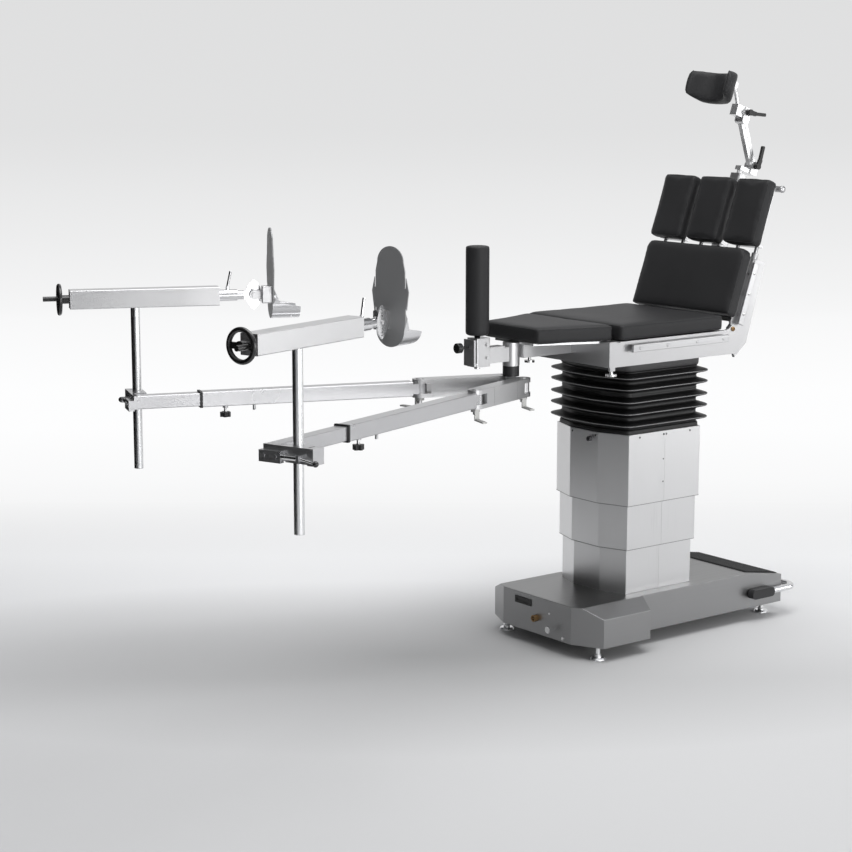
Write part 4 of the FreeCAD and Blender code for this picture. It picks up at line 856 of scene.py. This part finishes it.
def blended(shader, factor, first, second):
    """Blends from one shader output to another."""
    made = shader.node("ShaderNodeMixShader", Fac=factor)
    shader.feed(made.inputs[1], first)
    shader.feed(made.inputs[2], second)
    return made.outputs["Shader"]


def between(shader, value, low, high):
    """0 below low, 1 above high, and even in between."""
    made = shader.node("ShaderNodeMapRange", Value=value, From_Min=low, From_Max=high)
    return made.outputs["Result"]


def sweep_material():
    """Floor near the object with painted shade and a painted shadow round the base, fading into a
    glowing horizon behind it with a painted bright band.
    """
    s = Shader("sweep")
    depth = s.node("ShaderNodeSeparateXYZ", Vector=s.coords).outputs["Y"]
    fac = between(s, depth, GREYS_FROM, SWEEP_FAR)
    # Painted shade and shadow on the floor, by depth
    shaded_greys = grey_ramp(s, fac, FLOOR_SHADE_GREYS)
    # Painted shadow round the base, multiplied into the floor greys
    shadow_pool = s.node("ShaderNodeMapping", Vector=s.coords, Location=SHADOW_POOL_PLACE, Scale=SHADOW_POOL_SCALE)
    shadow_pool = s.node("ShaderNodeTexGradient", Vector=shadow_pool.outputs["Vector"])
    shadow_pool.gradient_type = "SPHERICAL"
    shaded_floor = s.node("ShaderNodeMix")
    shaded_floor.data_type = "RGBA"
    shaded_floor.blend_type = "MULTIPLY"
    s.feed(shaded_floor.inputs["Factor"], 1.0)
    s.feed(shaded_floor.inputs[6], shaded_greys)
    s.feed(shaded_floor.inputs[7], s.span(shadow_pool.outputs["Fac"], 1.0, SHADOW_POOL_GREY))
    s.set(Base_Color=shaded_floor.outputs[2], Roughness=0.9, Specular_IOR_Level=0.1)
    # Painted light: the horizon glows, brightest in a band a few metres behind the object, for the
    # camera and for mirror-like surfaces
    path = s.node("ShaderNodeLightPath")
    seen = s.node("ShaderNodeMath", Value=path.outputs["Is Camera Ray"])
    seen.operation = "MAXIMUM"
    s.feed(seen.inputs[1], path.outputs["Is Glossy Ray"])
    glow = s.node("ShaderNodeEmission", Color=grey_ramp(s, fac, HORIZON_GLOW_GREYS), Strength=1.0)
    far = between(s, depth, HORIZON_FROM, HORIZON_TO)
    whole = blended(s, product(s, seen.outputs["Value"], far), s.bsdf.outputs["BSDF"],
                    glow.outputs["Emission"])
    # Plain pale all round in the distance, for the camera only
    radius = s.node("ShaderNodeVectorMath")
    radius.operation = "LENGTH"
    s.feed(radius.inputs[0], s.coords)
    near = s.node("ShaderNodeMath", Value=1.0)
    near.operation = "SUBTRACT"
    s.feed(near.inputs[1], far)
    haze = s.node("ShaderNodeEmission", Color=PALE_GREY, Strength=1.0).outputs["Emission"]
    for (low, high), share in ((PALE_NEAR, near.outputs["Value"]), (PALE_FAR, 1.0)):
        away = product(s, between(s, radius.outputs["Value"], low, high), share)
        whole = blended(s, product(s, away, path.outputs["Is Camera Ray"]), whole, haze)
    end = next(n for n in s.tree.nodes if n.type == "OUTPUT_MATERIAL")
    s.feed(end.inputs["Surface"], whole)
    return s.mat


def make_flag():
    """Black studio flag that only mirror-like surfaces see, on the foot side."""
    bm = bmesh.new()
    up = Vector((0, 0, FLAG_HIGH))
    foot = [Vector(v) for v in FLAG_FOOT]
    for a, b in zip(foot, foot[1:]):
        bm.faces.new([bm.verts.new(v) for v in (a, b, b + up, a + up)])
    flag = mesh_object("flag", bm)
    s = Shader("flag")
    s.set(Base_Color=(0.005, 0.005, 0.005, 1.0), Roughness=1.0, Specular_IOR_Level=0.0)
    flag.data.materials.append(s.mat)
    flag.visible_camera = False
    flag.visible_diffuse = False
    flag.visible_shadow = False


def make_camera():
    """The photograph's own view."""
    data = bpy.data.cameras.new("camera")
    data.lens = CAMERA_LENS
    data.sensor_width = CAMERA_SENSOR
    data.clip_end = 100.0
    cam = bpy.data.objects.new("camera", data)
    cam.location = CAMERA_PLACE
    flat = math.cos(CAMERA_DROP)
    forward = Vector((math.sin(CAMERA_AZIMUTH) * flat, math.cos(CAMERA_AZIMUTH) * flat,
                      -math.sin(CAMERA_DROP)))
    cam.rotation_euler = forward.to_track_quat("-Z", "Y").to_euler()
    bpy.context.scene.collection.objects.link(cam)
    bpy.context.scene.camera = cam


def area_light(name, place, target, size, power):
    """A soft rectangular light aimed at a point."""
    data = bpy.data.lights.new(name, "AREA")
    data.shape = "RECTANGLE"
    data.size, data.size_y = size
    data.energy = power
    lamp = bpy.data.objects.new(name, data)
    lamp.location = place
    aim = Vector(target) - Vector(place)
    lamp.rotation_euler = aim.to_track_quat("-Z", "Y").to_euler()
    bpy.context.scene.collection.objects.link(lamp)


def make_world():
    """Soft surroundings, brighter above and on one side. The camera sees plain pale grey."""
    world = bpy.data.worlds.new("world")
    world.use_nodes = True
    tree = world.node_tree
    light = tree.nodes["Background"]
    coords = tree.nodes.new("ShaderNodeTexCoord")
    split = tree.nodes.new("ShaderNodeSeparateXYZ")
    tree.links.new(coords.outputs["Generated"], split.inputs["Vector"])
    ramp = tree.nodes.new("ShaderNodeValToRGB")
    for stop, colour in zip(ramp.color_ramp.elements, (WORLD_LOW, WORLD_HIGH)):
        stop.color = colour
    tree.links.new(split.outputs["Z"], ramp.inputs["Fac"])
    tree.links.new(ramp.outputs["Color"], light.inputs["Color"])
    across = tree.nodes.new("ShaderNodeVectorMath")
    across.operation = "DOT_PRODUCT"
    across.inputs[1].default_value = WORLD_BRIGHT_SIDE
    tree.links.new(coords.outputs["Generated"], across.inputs[0])
    level = tree.nodes.new("ShaderNodeMapRange")
    level.inputs["From Min"].default_value = -1.0
    level.inputs["To Min"].default_value, level.inputs["To Max"].default_value = WORLD_STRENGTH
    tree.links.new(across.outputs["Value"], level.inputs["Value"])
    tree.links.new(level.outputs["Result"], light.inputs["Strength"])
    pale = tree.nodes.new("ShaderNodeBackground")
    pale.inputs["Color"].default_value = PALE_GREY
    path = tree.nodes.new("ShaderNodeLightPath")
    mix = tree.nodes.new("ShaderNodeMixShader")
    tree.links.new(path.outputs["Is Camera Ray"], mix.inputs["Fac"])
    tree.links.new(light.outputs["Background"], mix.inputs[1])
    tree.links.new(pale.outputs["Background"], mix.inputs[2])
    end = next(n for n in tree.nodes if n.type == "OUTPUT_WORLD")
    tree.links.new(mix.outputs["Shader"], end.inputs["Surface"])
    bpy.context.scene.world = world


dress_frame()
make_bellows()
make_pads()
make_fasteners()
make_shade_lips()
make_crossbar_ends()
make_stage()
make_flag()
make_camera()
make_world()
for light in LIGHTS:
    area_light(*light)

bpy.context.scene.view_settings.view_transform = "Standard"
